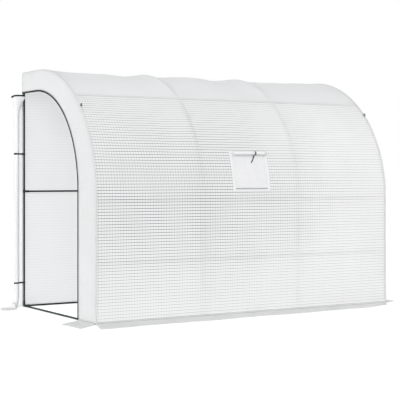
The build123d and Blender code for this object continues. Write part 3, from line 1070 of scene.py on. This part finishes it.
# %% [markdown]
# ## End sheets
#
# Each end is a sheet with an arched doorway cut out of it: an upright strip in front, and a
# band that follows the curve over the doorway. Its points lie between two outlines, the
# doorway's and the tunnel's, at the same share of each straight run and each arc. The strip
# and the band are one sheet, and it bellies out by a millimetre or two between its edges. A
# boolean cut through a plain sheet would leave long, thin faces along the arch.


# %% Helpers for sheets
def sheet_piece(name, points, uv, cloth, turn=False, thickness=CLOTH_T, slot="woven_cover"):
    """A sheet of cloth from a grid of points, with its faces turned over where `turn` says so."""
    faces = grid_faces(*points.shape[:2])
    shell = (points, faces[:, ::-1] if turn else faces)
    return make_piece(name, [shell], cloth, uv=uv, thickness=thickness)


def area_of(points):
    """Area of a grid of points: half the cross product of the diagonals of each quad."""
    diagonals = points[1:, 1:] - points[:-1, :-1], points[1:, :-1] - points[:-1, 1:]
    return float(np.linalg.norm(np.cross(*diagonals), axis=-1).sum() / 2)


print("sheet helpers ready")

# %% End sheets
door_low, door_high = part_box("left_door_zip")
ZIP_W = 0.012
DOOR_ARCH_R = 0.85
DOOR_TOP = door_high.z - ZIP_W
DOOR_FRONT_Y = door_low.y + ZIP_W
SHEET_REAR_Y = REAR_Y - 0.0005


def doorway(away, rear_y, foot_z):
    """Outline of the doorway at a distance from its edge."""
    y, z = DOOR_FRONT_Y - away, DOOR_TOP + away
    return outline([(rear_y, z), (y, z), (y, foot_z)], [DOOR_ARCH_R + away])


tunnel_marks, tunnel_at = outline([(SHEET_REAR_Y, TOP_Z), (FRONT_Y, TOP_Z), (FRONT_Y, 0)],
                                  [ARCH_R])
sheet_marks, sheet_at = doorway(ZIP_W, SHEET_REAR_Y, 0)
PIECE_SHARE = stations([0.0, 1.0, 2.0, 3.0], 0.022)
ACROSS = np.linspace(0.0, 1.0, 13)
SHEET_INSET = 0.0002
BELLY, BELLY_CHANGE = 0.0012, 0.0008


def end_sheet_points(side):
    """Points between the doorway's outline and the tunnel's, at X of this side.

    The share across goes evenly from one outline to the other. The belly is the sine of pi
    times it, times a depth that changes slowly along the sheet.
    """
    outer, inner = (at(np.interp(PIECE_SHARE, np.arange(4), marks))[0]
                    for marks, at in ((tunnel_marks, tunnel_at), (sheet_marks, sheet_at)))
    yz = inner[:, None] + (outer - inner)[:, None] * ACROSS[None, :, None]
    depth = BELLY + BELLY_CHANGE * np.sin(7.0 * PIECE_SHARE)
    belly = np.sin(np.pi * ACROSS)[None] * depth[:, None]
    return at_x(side * (END_X - SHEET_INSET + belly), yz), yz


for label, side in SIDES:
    points, yz = end_sheet_points(side)
    sheet = sheet_piece(f"{label}_end_sheet", points, yz, END_CLOTH, turn=side < 0)
    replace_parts(sheet, f"{label}_end_arch", f"{label}_end_strip")
    print(sheet.name, round(area_of(points), 3), "square metres")

# %% [markdown]
# ## Zips
#
# The doorway's edge is a dark green zip tape with a coil along its middle. The tape is a thin
# flat profile carried along the doorway's outline. The coil is a half-round bar whose radius
# goes up and down with every tooth.

# %% Zip tape and coil
ZIP_FACE = 0.0022
COIL_PITCH = 0.0040
COIL_SIDES = 6
COIL_R, COIL_SWELL = 0.0019, 0.0005
COIL_FLAT, COIL_OUT = 0.8, 0.0008


def flat_profile(width, thickness):
    """Corners of a flat band."""
    w, t = width / 2, thickness / 2
    return np.array([(-w, -t), (w, -t), (w, t), (-w, t)])


TAPE = flat_profile(0.015, 0.0012)


def zip_shells(path_at, length, step=0.02):
    """Tape and coil along a path; `path_at` gives points, the way across and the way up.

    The coil's radius is its mean plus a sine with one turn for each tooth.
    """
    tape = carried(TAPE, *path_at(stations([0.0, length], step)))
    fine = np.arange(0.0, length, COIL_PITCH / 4)
    points, across, up = path_at(fine)
    swell = (COIL_R + COIL_SWELL * np.sin(2 * np.pi * fine / COIL_PITCH))[:, None, None]
    ring = ring_profile(1.0, COIL_SIDES)
    coil = ((points + up * COIL_OUT)[:, None] + ring[None, :, 0, None] * swell * across[:, None]
            + ring[None, :, 1, None] * swell * up[:, None] * COIL_FLAT)
    faces = [tuple(face) for face in grid_faces(len(fine), COIL_SIDES, False, True)]
    last = (len(fine) - 1) * COIL_SIDES
    faces += [tuple(range(COIL_SIDES)), tuple(range(last, last + COIL_SIDES))[::-1]]
    return tape, (coil, faces)


print("the coil has", round(1 / COIL_PITCH), "teeth to a metre")

# %% [markdown]
# Half of the zip is sewn to the doorway's edge. The other half is on the door, and its loose end
# sticks out over the top of the roll and droops. Both have the same tape and coil, so only
# their paths differ.

# %% Paths of the zips
zip_marks, zip_at = doorway(ZIP_W / 2, REAR_Y, 0.004)
ROLL_LOW, ROLL_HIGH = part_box("left_door_roll")
ROLL_R = 0.025
ROLL_X = -ROLL_LOW.x - ROLL_R
ROLL_Y = ROLL_HIGH.y - ROLL_R
TAIL_LEAD = 0.010
TAIL_LENGTH = -door_low.x - END_X + TAIL_LEAD
TAIL_DROOP = 0.020
TAIL_Y, TAIL_Z = ROLL_Y - 0.012, ROLL_HIGH.z + 0.0100


def edge_zip(side):
    """Function for the zip round the doorway at this side."""
    def at(s):
        yz, normals = zip_at(s)
        across = at_x(0.0, normals * side)
        up = np.broadcast_to((side, 0.0, 0.0), across.shape)
        return at_x(side * (END_X + ZIP_FACE), yz), across, up
    return at


def tail_zip(side):
    """Function for the zip's loose end, which runs out over the roll and droops at its tip.

    The droop grows with the sixth power of the share of its length.
    """
    def at(s):
        t = s / TAIL_LENGTH
        out = np.stack([side * (END_X - TAIL_LEAD + s), np.full_like(s, TAIL_Y),
                        TAIL_Z - TAIL_DROOP * t ** 6], axis=-1)
        slope = -6 * TAIL_DROOP * t ** 5 / TAIL_LENGTH
        across = np.stack([slope, np.zeros_like(s), -side * np.ones_like(s)], axis=-1)
        across = across / np.linalg.norm(across, axis=-1, keepdims=True)
        return out, across, np.broadcast_to((0.0, -1.0, 0.0), across.shape)
    return at


for label, side in SIDES:
    tape, coil = zip_shells(edge_zip(side), zip_marks[-1])
    tail_tape, tail_coil = zip_shells(tail_zip(side), TAIL_LENGTH, 0.006)
    zip_tape = make_piece(f"{label}_zip_tape", [tape, tail_tape], ZIP_TAPE, sharp=40)
    zip_coil = make_piece(f"{label}_zip_coil", [coil, tail_coil], ZIP_TEETH)
    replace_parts(zip_tape, f"{label}_door_zip")
    print(zip_coil.name, len(zip_coil.data.polygons), "faces")

# %% [markdown]
# ## Rolled doors
#
# A door is the cut-out of the doorway, 1.17 m wide and 1.93 m high with one arched corner. It
# is rolled from its front edge towards the rear post, so the roll is a real spiral of about
# twelve turns, and its inner turns are shorter because the arch made them so. Seen from above
# they step down into the roll. Two straps pinch it, and its top opens a little. The lead
# between the post and the roll is a single layer, and the foot of the roll is bent outwards
# and forwards where it stands on the ground.

# %% Form of the roll
DOOR_W = REAR_Y - DOOR_FRONT_Y
LEAD = ROLL_X - END_X
LEAD_COLS = 5
LEAD_INSET = 0.0012
INNER_R = 0.005
ROLLED_T = 0.0005
ROLL_CLOTH_R = ROLL_R - 0.0006
TURNS = (DOOR_W - LEAD) / (np.pi * (ROLL_CLOTH_R + INNER_R))
TURN_STEPS, ROLL_ROWS = 28, 56
TIE_HEIGHTS = (0.221, 1.384)
TIE_PINCH, TIE_SPREAD = 0.16, 0.045
ROLL_FOLDS = [(0.035, 3, 2.2, 0.0), (0.030, 2, -5.1, 1.0), (0.015, 7, 11.0, 0.0)]
FOOT_Z = 0.004
FOOT_BEND, BEND_HEIGHT = (0.030, 0.026), 0.11
OPEN_FROM = 1.74
OPEN_TO_POST, OPEN_AWAY, OPEN_FORWARD = 0.060, 0.010, 0.026


def door_cut_height(w):
    """Height of the door's cut at the distance w from its rear edge.

    Past the arch's start it is the height of the arch's centre plus the root of the radius
    squared less the way past squared.
    """
    past = np.clip(w - (REAR_Y - (DOOR_FRONT_Y + DOOR_ARCH_R)), 0, DOOR_ARCH_R * 0.9995)
    return DOOR_TOP - DOOR_ARCH_R + np.sqrt(DOOR_ARCH_R ** 2 - past ** 2)


def squeeze(angle, z):
    """Share by which the roll is narrower or wider: one, less a bell at each tie, plus folds."""
    pinch = sum(TIE_PINCH * np.exp(-((z - tie) / TIE_SPREAD) ** 2) for tie in TIE_HEIGHTS)
    return 1.0 - pinch + waves(ROLL_FOLDS, angle, z)


print("the door is rolled up in", round(TURNS, 1), "turns")

# %% [markdown]
# The whole door is one grid: its columns go round the roll, and its rows go up. So it keeps one
# cloth map, and the threads run on from the lead into the roll without a seam.


# %% Points of the roll
def roll_points(side):
    """Points of the lead and the roll, and their places on the flat door.

    In the spiral the radius falls evenly with the angle, and the height follows the door's
    cut. The lead comes in from the post with the square of the way that is left. The top
    opens towards the post, and the foot is pushed out by the square of its depth.
    """
    angle = np.linspace(0.0, TURNS * 2 * np.pi, int(TURNS * TURN_STEPS))
    radius = ROLL_CLOTH_R + (INNER_R - ROLL_CLOTH_R) * angle / angle[-1]
    passed = np.concatenate([[0.0], np.cumsum(np.diff(angle) * (radius[1:] + radius[:-1]) / 2)])
    top = door_cut_height(LEAD + passed) - (DOOR_TOP - ROLL_HIGH.z)
    z = FOOT_Z + np.linspace(0.0, 1.0, ROLL_ROWS)[:, None] * (top - FOOT_Z)[None]
    factor = squeeze(angle[None], z)
    x = -radius * np.sin(angle) * factor
    y = radius * np.cos(angle) * factor
    opened = np.clip((z - OPEN_FROM) / (ROLL_HIGH.z - OPEN_FROM), 0, 1) ** 1.4
    towards_post, away = np.clip(x / ROLL_R, 0, 1), np.clip(-x / ROLL_R, 0, 1)
    x = x + OPEN_TO_POST * opened * towards_post - OPEN_AWAY * opened * away
    y = y - OPEN_FORWARD * opened * towards_post
    lead_share = np.linspace(0.0, 1.0, LEAD_COLS + 1)[:-1]
    lead_x = np.broadcast_to(LEAD * (1 - lead_share), (ROLL_ROWS, LEAD_COLS))
    lead_y = y[:, :1] + (REAR_Y - LEAD_INSET - ROLL_Y - y[:, :1]) * (1 - lead_share) ** 2
    x = np.concatenate([lead_x, x], axis=1)
    y = np.concatenate([lead_y, y], axis=1)
    z = np.concatenate([np.repeat(z[:, :1], LEAD_COLS, axis=1), z], axis=1)
    w = np.concatenate([LEAD * lead_share, LEAD + passed])
    sunk = np.clip(1 - z / BEND_HEIGHT, 0, 1) ** 2
    sunk[:, :LEAD_COLS] = sunk[:, :LEAD_COLS] * lead_share[None]
    points = np.stack([side * (ROLL_X - x + FOOT_BEND[0] * sunk),
                       ROLL_Y + y - FOOT_BEND[1] * sunk, z], axis=-1)
    return points, np.stack([np.broadcast_to(w, z.shape), z], axis=-1)


print("the roll is a grid of", roll_points(1)[0].shape[:2])

# %% [markdown]
# The faces of the lead get the clear single cloth, and all the others the dense rolled one. The
# sheet's flat size and area are those of the doorway that it was cut from.

# %% Rolled doors
for label, side in SIDES:
    points, uv = roll_points(side)
    roll = sheet_piece(f"{label}_rolled_door", points, uv, ROLLED_CLOTH, turn=side > 0,
                       thickness=ROLLED_T)
    roll.data.materials.append(SINGLE_CLOTH)
    single = np.zeros((points.shape[0] - 1, points.shape[1] - 1))
    single[:, :LEAD_COLS - 1] = 1
    set_materials(roll, single)
    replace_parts(roll, f"{label}_door_roll")
    print(roll.name, round(TURNS, 1), "turns,", len(roll.data.polygons), "faces")

# %% [markdown]
# Each strap is a black band round the roll, tied to the rear post. It is a flat profile carried
# round the roll, then straight to the post and round it.

# %% Straps of the rolled doors
STRAP_T = 0.0014
STRAP = flat_profile(0.014, STRAP_T)
STRAP_ROUND_ROLL = 0.0222
STRAP_ROUND_POST = TUBE_R + 0.0008


def strap_loop(x, y, z, radius, side, corners=32):
    """Flat band round a circle, its path the centre plus the radius times cosine and sine."""
    angle = ring_angles(corners)
    ring = np.stack([side * np.cos(angle), np.sin(angle), np.zeros_like(angle)], axis=-1)
    return carried(STRAP, (x, y, z) + ring * radius, (0, 0, 1), ring, closed_path=True)


for label, side in SIDES:
    shells = []
    for z in TIE_HEIGHTS:
        shells.append(strap_loop(side * ROLL_X, ROLL_Y, z, STRAP_ROUND_ROLL, side))
        shells.append(strap_loop(side * HOOP_XS[-1], TUBE_REAR_Y, z, STRAP_ROUND_POST, side, 20))
        path = [(side * x, TUBE_REAR_Y - 0.002, z)
                for x in (ROLL_X - 0.0205, HOOP_XS[-1] + TUBE_R)]
        shells.append(carried(STRAP, path, (0, 0, 1), (0, -1, 0)))
    straps = make_piece(f"{label}_door_straps", shells, BLACK_STRAP, sharp=40)
    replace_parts(straps, f"{label}_door_ties")
print("straps ready")

# %% [markdown]
# ## Skirts on the ground
#
# The cover and the end sheets go on past the ground rails as flaps that lie on the soil and are
# weighed down there. They are not flat: the outer edge waves a little, and the sheet lifts
# in low folds that start at the rail. The height is a sum of slow waves along the flap that
# grow towards its free edge. A flap that was thrown down by hand doesn't lie square either,
# so its free edge is pushed along the line, and its far end may be drawn in.

# %% Surface of a skirt
LYING_Z, LEAST_Z = 0.0014, 0.0012
FOLD_HEIGHT = 0.010
CLIMB_HEIGHT, CLIMB_REACH = 0.010, 0.014
SKIRT_ROWS, SKIRT_STEP = 14, 0.02


def skirt_surface(corner, along, out, length, width, phase, lean=0.0, narrow=0.0):
    """Flap from the ground line: `along` the line and `out` from it, with waves that grow outwards.

    The height is the share of the width times a third plus a fifth of the sum of three
    waves, less near the free edge, and a bell where the cloth climbs to the rail. lean is how
    far the free edge is pushed along the line, and narrow is how much less wide the flap is
    at its far end.
    """
    T, W = np.meshgrid(stations([0.0, length], SKIRT_STEP), np.linspace(0.0, 1.0, SKIRT_ROWS),
                       indexing="ij")
    wave = (np.sin(2 * np.pi * T / 0.41 + phase) + 0.6 * np.sin(2 * np.pi * T / 0.17 + 2 * phase)
            + 0.4 * np.sin(2 * np.pi * T / 0.73 + 3 * phase + 2.0 * W))
    z = LYING_Z + FOLD_HEIGHT * W * (0.32 + 0.20 * wave) * (1 - 0.55 * W ** 4)
    z = z + CLIMB_HEIGHT * np.exp(-(W * width / CLIMB_REACH) ** 2)
    edge_in = 0.010 * np.sin(2 * np.pi * T / 0.9 + phase) + 0.004 * np.sin(2 * np.pi * T / 0.23)
    drawn_in = narrow * (0.4 * T / length + 0.6 * np.exp(-((length - T) / 0.22) ** 2))
    reach = W * (width - 0.010 + edge_in - drawn_in)
    along, out = np.array(along, float), np.array(out, float)
    points = np.array(corner, float) + (T + lean * W)[..., None] * along + reach[..., None] * out
    points[..., 2] = np.maximum(z, LEAST_Z)
    return points, np.stack([T, W * width], axis=-1)


print("a skirt lifts up to", FOLD_HEIGHT * 1000, "mm")

# %% [markdown]
# There are three such flaps: a long one in front and a short one at the foot of each end strip.
# They share one surface and one cloth, which is duller than the cover because it lies in the
# soil. Each has its own lean, so that no two look alike.


# %% Front and end skirts
def skirt_piece(name, node, held_by, flat, turn, **shape):
    """A flap as an object that stands for its CAD node."""
    piece = sheet_piece(name, *skirt_surface(**shape), SKIRT_CLOTH, turn=turn)
    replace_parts(piece, node)


SKIRT_CLOTH = woven_film("skirt_cloth", film=(0.965, 0.968, 0.972), thread=(0.88, 0.885, 0.89),
                         through=0.22, clear=0.02, thread_clear=0.0, wide=0.10, fine=0.05,
                         upright=0.7, marks=1.0)
skirt_low, skirt_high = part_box("front_skirt")
SKIRT_W = skirt_high.y - skirt_low.y
skirt_piece("front_skirt_cloth", "front_skirt", "cover_sheet", (2 * END_X, SKIRT_W), True,
            corner=(-END_X, skirt_high.y, 0), along=(1, 0, 0), out=(0, -1, 0), length=2 * END_X,
            width=SKIRT_W, phase=0.7, lean=-0.09, narrow=0.14)
for (label, side), wider, lean in zip(SIDES, (0.012, -0.015), (0.16, -0.09)):
    low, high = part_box(f"{label}_end_skirt")
    length, width = high.y - low.y, high.x - low.x
    skirt_piece(f"{label}_end_skirt_cloth", f"{label}_end_skirt", f"{label}_end_sheet",
                (length, width), side > 0, corner=(side * (END_X + 0.0003), high.y, 0),
                along=(0, -1, 0), out=(side, 0, 0), length=length, width=width + wider, phase=1.9,
                lean=lean)
print("skirts ready")

# %% [markdown]
# Each door has a ground flap of its own. When the door is rolled up, the flap spills out of the
# foot of the roll and lies on the ground as a fan. It is a part of a disc about the roll's foot:
# the reach changes with the angle, and near the roll the cloth climbs up into it.

# %% Fan at the foot of a rolled door
FAN_FROM, FAN_TO, FAN_TIP = np.radians((158, 262, 224))
FAN_REACH, FAN_TIP_REACH, FAN_TIP_WIDTH = 0.105, 0.095, 0.42
FAN_START = ROLL_R * 0.80
FAN_CLIMB, FAN_CLIMB_REACH = 0.050, 0.016
FAN_FOLDS = 0.007


def foot_fan(side):
    """Fan on the ground, as a part of a disc about the roll's foot.

    The reach is its least plus a bell about the tip's angle. The height falls off from the
    roll with the power of e, plus a sine of the angle that grows with the reach.
    """
    A, R = np.meshgrid(np.linspace(FAN_FROM, FAN_TO, 40), np.linspace(0.0, 1.0, 20),
                       indexing="ij")
    reach = FAN_REACH + FAN_TIP_REACH * np.exp(-((A - FAN_TIP) / FAN_TIP_WIDTH) ** 2)
    r = FAN_START + R * reach
    z = LYING_Z + FAN_CLIMB * np.exp(-((r - FAN_START) / FAN_CLIMB_REACH))
    z = z + FAN_FOLDS * R * (1 - 0.6 * R ** 3) * (0.5 + 0.5 * np.sin(9.0 * A + 1.0 + 2.0 * R))
    x = -ROLL_X - FOOT_BEND[0] + r * np.cos(A)
    y = ROLL_Y - FOOT_BEND[1] + r * np.sin(A)
    return np.stack([-side * x, y, z], axis=-1), np.stack([r * A, r], axis=-1)


for label, side in SIDES:
    points, uv = foot_fan(side)
    fan = sheet_piece(f"{label}_door_foot_cloth", points, uv, SKIRT_CLOTH, turn=side > 0)
    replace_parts(fan, f"{label}_door_skirt")
    print(fan.name, "area", round(area_of(points), 4))

# %% [markdown]
# ## Window
#
# The window is a square of fine netting sewn behind a border of white tape. The netting and
# the border follow the cover's own surface, so they curve with it. Modelled holes would take
# millions of faces, so the net is a mask: threads of the same group as the cloth's, with
# clear holes between them.

# %% Netting
NET_COLOUR, NET_DUSTY, NET_GLOW = (0.88, 0.88, 0.89), (0.83, 0.83, 0.82), (0.90, 0.90, 0.91)
NET_ROUGH, NET_BUMP = (0.8, 0.5), (0.0003, 0.5)
NET_THROUGH, NET_CLEAR = 0.35, (0.45, 0.02)
NET_SEAM = 0.012
NET_T = 0.0006
NET_BEHIND = 0.0016


def netting_material():
    """Fine net: threads a little over two millimetres apart, with open holes between them."""
    material, tree, where = new_material("fine_netting")
    net = placed(tree, WOVEN_THREADS, where["UV"], Pitch=0.0024, Wide=0.26, Fine=0.0, Upright=1.0)
    dust = placed(tree, MARKS, where["Object"], Scale=12.0)
    body = principled(tree, mixed_colour(tree, dust["Mask"], NET_COLOUR, NET_DUSTY),
                      ranged(tree, net["Threads"], *NET_ROUGH),
                      bumped(tree, net["Height"], *NET_BUMP))
    thin_sheet(tree, body, NET_GLOW, NET_THROUGH, ranged(tree, net["Threads"], *NET_CLEAR))
    return material


net_s = stations([WINDOW_S[0] - NET_SEAM, WINDOW_S[1] + NET_SEAM], NET_SEAM)
net_x = stations([-WINDOW_X - NET_SEAM, WINDOW_X + NET_SEAM], NET_SEAM)
NS, NX = np.meshgrid(net_s, net_x, indexing="ij")
netting = sheet_piece("window_net", on_cover(NS, NX, -NET_BEHIND), np.stack([NX, NS], axis=-1),
                      netting_material(), thickness=NET_T, slot="window_film")
print("netting:", len(netting.data.polygons), "faces")

# %% [markdown]
# The border is four strips of tape, with a grey strip along the window's lower edge. Each is
# sewn on, so it has an upper and a lower side on the cover and a closed rim between them.

# %% Border and bottom strip
BORDER_OUT, BORDER_UNDER, BOTTOM_STRIP_OUT = 0.0016, 0.0002, 0.0026


def border_strip(s_range, x_range, out=BORDER_OUT):
    """Flat tape: the cover's points pushed out by two distances, and a rim of quads."""
    BS, BX = np.meshgrid(stations(s_range, 0.015), stations(x_range, 0.015), indexing="ij")
    faces, count = grid_faces(*BS.shape), BS.size
    index = np.arange(count).reshape(BS.shape)
    rim = np.concatenate([index[0, :-1], index[:-1, -1], index[-1, :0:-1], index[:0:-1, 0]])
    after = np.roll(rim, -1)
    edges = np.stack([rim, after, after + count, rim + count], axis=-1)
    points = [on_cover(BS, BX, height).reshape(-1, 3) for height in (out, BORDER_UNDER)]
    return np.concatenate(points), np.concatenate([faces, faces[:, ::-1] + count, edges])


BORDER_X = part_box("window_border")[1].x
BORDER_W = BORDER_X - WINDOW_X
border = make_piece(
    "window_border_tape",
    [border_strip([WINDOW_S[0] - BORDER_W, WINDOW_S[0]], [-BORDER_X, BORDER_X]),
     border_strip([WINDOW_S[1], WINDOW_S[1] + BORDER_W], [-BORDER_X, BORDER_X]),
     border_strip(WINDOW_S, [-BORDER_X, -WINDOW_X]),
     border_strip(WINDOW_S, [WINDOW_X, BORDER_X])],
    WHITE_TAPE, sharp=40,
)
# Grey strip along the window's lower edge.
bottom_strip = border_strip([WINDOW_S[1] - 0.001, WINDOW_S[1] + 0.009], [-WINDOW_X, WINDOW_X],
                       BOTTOM_STRIP_OUT)
make_piece("window_bottom_strip", [bottom_strip], GREY_TAPE, sharp=40)
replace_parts(netting, "window_netting")
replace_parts(border, "window_border")

# %% [markdown]
# The flap is a piece of the same cloth, rolled upwards into a spiral along the window's top.
# It isn't a plain cylinder: the tie pinches it, slow folds run round it, and it sways a
# little along its length.

# %% Rolled flap
flap_low, flap_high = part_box("window_flap_roll")
FLAP_Y, FLAP_Z = middle("window_flap_roll")[1:]
FLAP_R = (flap_high.z - flap_low.z) / 2 - 0.001
FLAP_INNER = 0.0035
FLAP_LENGTH = 0.345
FLAP_FOLDS = [(0.03, 3, 19, 0.0), (0.03, 2, -31, 0.0)]
FLAP_FILL = 0.93
FLAP_PINCH, PINCH_WIDTH = 0.14, 0.022
FLAP_SWAY = 0.0015
TIE_X = 0.060

flap_turns = FLAP_LENGTH / (np.pi * (FLAP_R + FLAP_INNER))
flap_angle = np.linspace(0.0, flap_turns * 2 * np.pi, int(flap_turns * 26))
FA, FX = np.meshgrid(flap_angle, np.linspace(-WINDOW_X, WINDOW_X, 34), indexing="ij")
flap_radius = FLAP_R + (FLAP_INNER - FLAP_R) * FA / flap_angle[-1]
pinch = 1 - FLAP_PINCH * np.exp(-((FX - TIE_X) / PINCH_WIDTH) ** 2) + waves(FLAP_FOLDS, FA, FX)
sway = FLAP_SWAY * np.sin(14 * FX + 0.6)
flap_points = np.stack([FX, FLAP_Y - flap_radius * np.sin(FA) * pinch * FLAP_FILL,
                        FLAP_Z + sway + flap_radius * np.cos(FA) * pinch * FLAP_FILL], axis=-1)
passed = np.concatenate([[0.0], np.cumsum(np.diff(flap_angle) * flap_radius[1:, 0])])
flap_uv = np.stack([FX, np.broadcast_to(passed[:, None], FX.shape)], axis=-1)
flap = sheet_piece("window_flap_rolled", flap_points, flap_uv, ROLLED_CLOTH, thickness=ROLLED_T)
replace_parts(flap, "window_flap_roll")

print("flap", round(float(flap_turns), 1), "turns")

# %% [markdown]
# The tie goes round the roll and hangs on the window. It is thin, dark and bent, and it is the
# one small mark that the eye finds on the front. It is two bands: one round the roll, and a
# tongue that slants to the left as it hangs.

# %% Tie of the flap
TIE = flat_profile(0.011, STRAP_T)
TIE_LOOP_R = 0.0165
TONGUE_FROM, TONGUE_TO, TONGUE_OUT = 0.016, 0.082, 0.0045
TONGUE_SLANT = 0.042
turn = np.linspace(np.radians(-20), np.radians(200), 22)
round_out = np.stack([np.zeros_like(turn), -np.sin(turn), np.cos(turn)], axis=-1)
round_roll = (TIE_X, FLAP_Y, FLAP_Z) + round_out * TIE_LOOP_R
tongue_s = np.linspace(front_length(FLAP_Z - TONGUE_FROM), front_length(FLAP_Z - TONGUE_TO), 10)
tongue_x = TIE_X - TONGUE_SLANT * np.linspace(0.0, 1.0, 10) ** 1.3
tongue = on_cover(tongue_s, tongue_x, TONGUE_OUT)
tie = make_piece("window_tie_strap", [carried(TIE, round_roll, (1, 0, 0), round_out),
                                      carried(TIE, tongue, (1, 0, 0), (0, -0.95, 0.3))],
                 BLACK_STRAP, sharp=40)
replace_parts(tie, "window_tie")
print("tie:", len(tie.data.polygons), "faces")

# %% [markdown]
# ## Seams, hems and storm loops
#
# The cover's panels are joined by tape where the roof meets the front, and its edges are bound
# where it meets the end sheets. These narrow strips catch the light and draw the tunnel's
# lines in the photograph.

# %% Seam tape and edge binding
SEAM_W, SEAM_T, SEAM_OUT = 0.018, 0.0009, 0.0010
BINDING = np.array([(-0.0130, -0.0006), (0.0008, -0.0006), (0.0022, 0.0006), (0.0012, 0.0018),
                    (-0.0130, 0.0014)])
BINDING_FOOT = 0.003

seam_x = stations([-COVER_X, HOOP_XS[1], HOOP_XS[2], COVER_X], PATH_STEP)
SX, SA = np.meshgrid(seam_x, PURLIN_S + np.linspace(-SEAM_W / 2, SEAM_W / 2, 4), indexing="xy")
sheet_piece("roof_seam_tape", on_cover(SA, SX, SEAM_OUT), np.stack([SX, SA], axis=-1), END_CLOTH,
            thickness=SEAM_T)

bind_marks, bind_at = outline([(REAR_Y, BINDING_FOOT), (REAR_Y, TOP_Z), (FRONT_Y, TOP_Z),
                               (FRONT_Y, BINDING_FOOT)], [COVER_CORNER_R, ARCH_R])
yz, normals = bind_at(stations(bind_marks, PATH_STEP))
for label, side in SIDES:
    binding = carried(BINDING, at_x(side * END_X, yz), (side, 0, 0), at_x(0.0, normals))
    make_piece(f"{label}_edge_binding", [binding], END_CLOTH, sharp=50)
print("binding:", round(bind_marks[-1], 2), "m on each edge")

# %% [markdown]
# A small black loop stands on each end hoop, for a storm line. It is a cord bent to a ring, so
# a circle is carried round a circle.

# %% Storm loops
LOOP_CORD_R = 0.0030
angle = ring_angles(28)
ring = np.stack([np.zeros_like(angle), np.cos(angle), np.sin(angle)], axis=-1)
for label, side in SIDES:
    node = f"{label}_storm_loop"
    loop_r = (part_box(node)[1].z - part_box(node)[0].z) / 2 - LOOP_CORD_R
    cord = carried(ring_profile(LOOP_CORD_R, 10), middle(node) + ring * loop_r, (1, 0, 0), ring,
                   closed_path=True)
    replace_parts(make_piece(f"{label}_storm_ring", [cord], BLACK_STRAP), node)
print("storm loops: radius", round(loop_r, 4), "m")
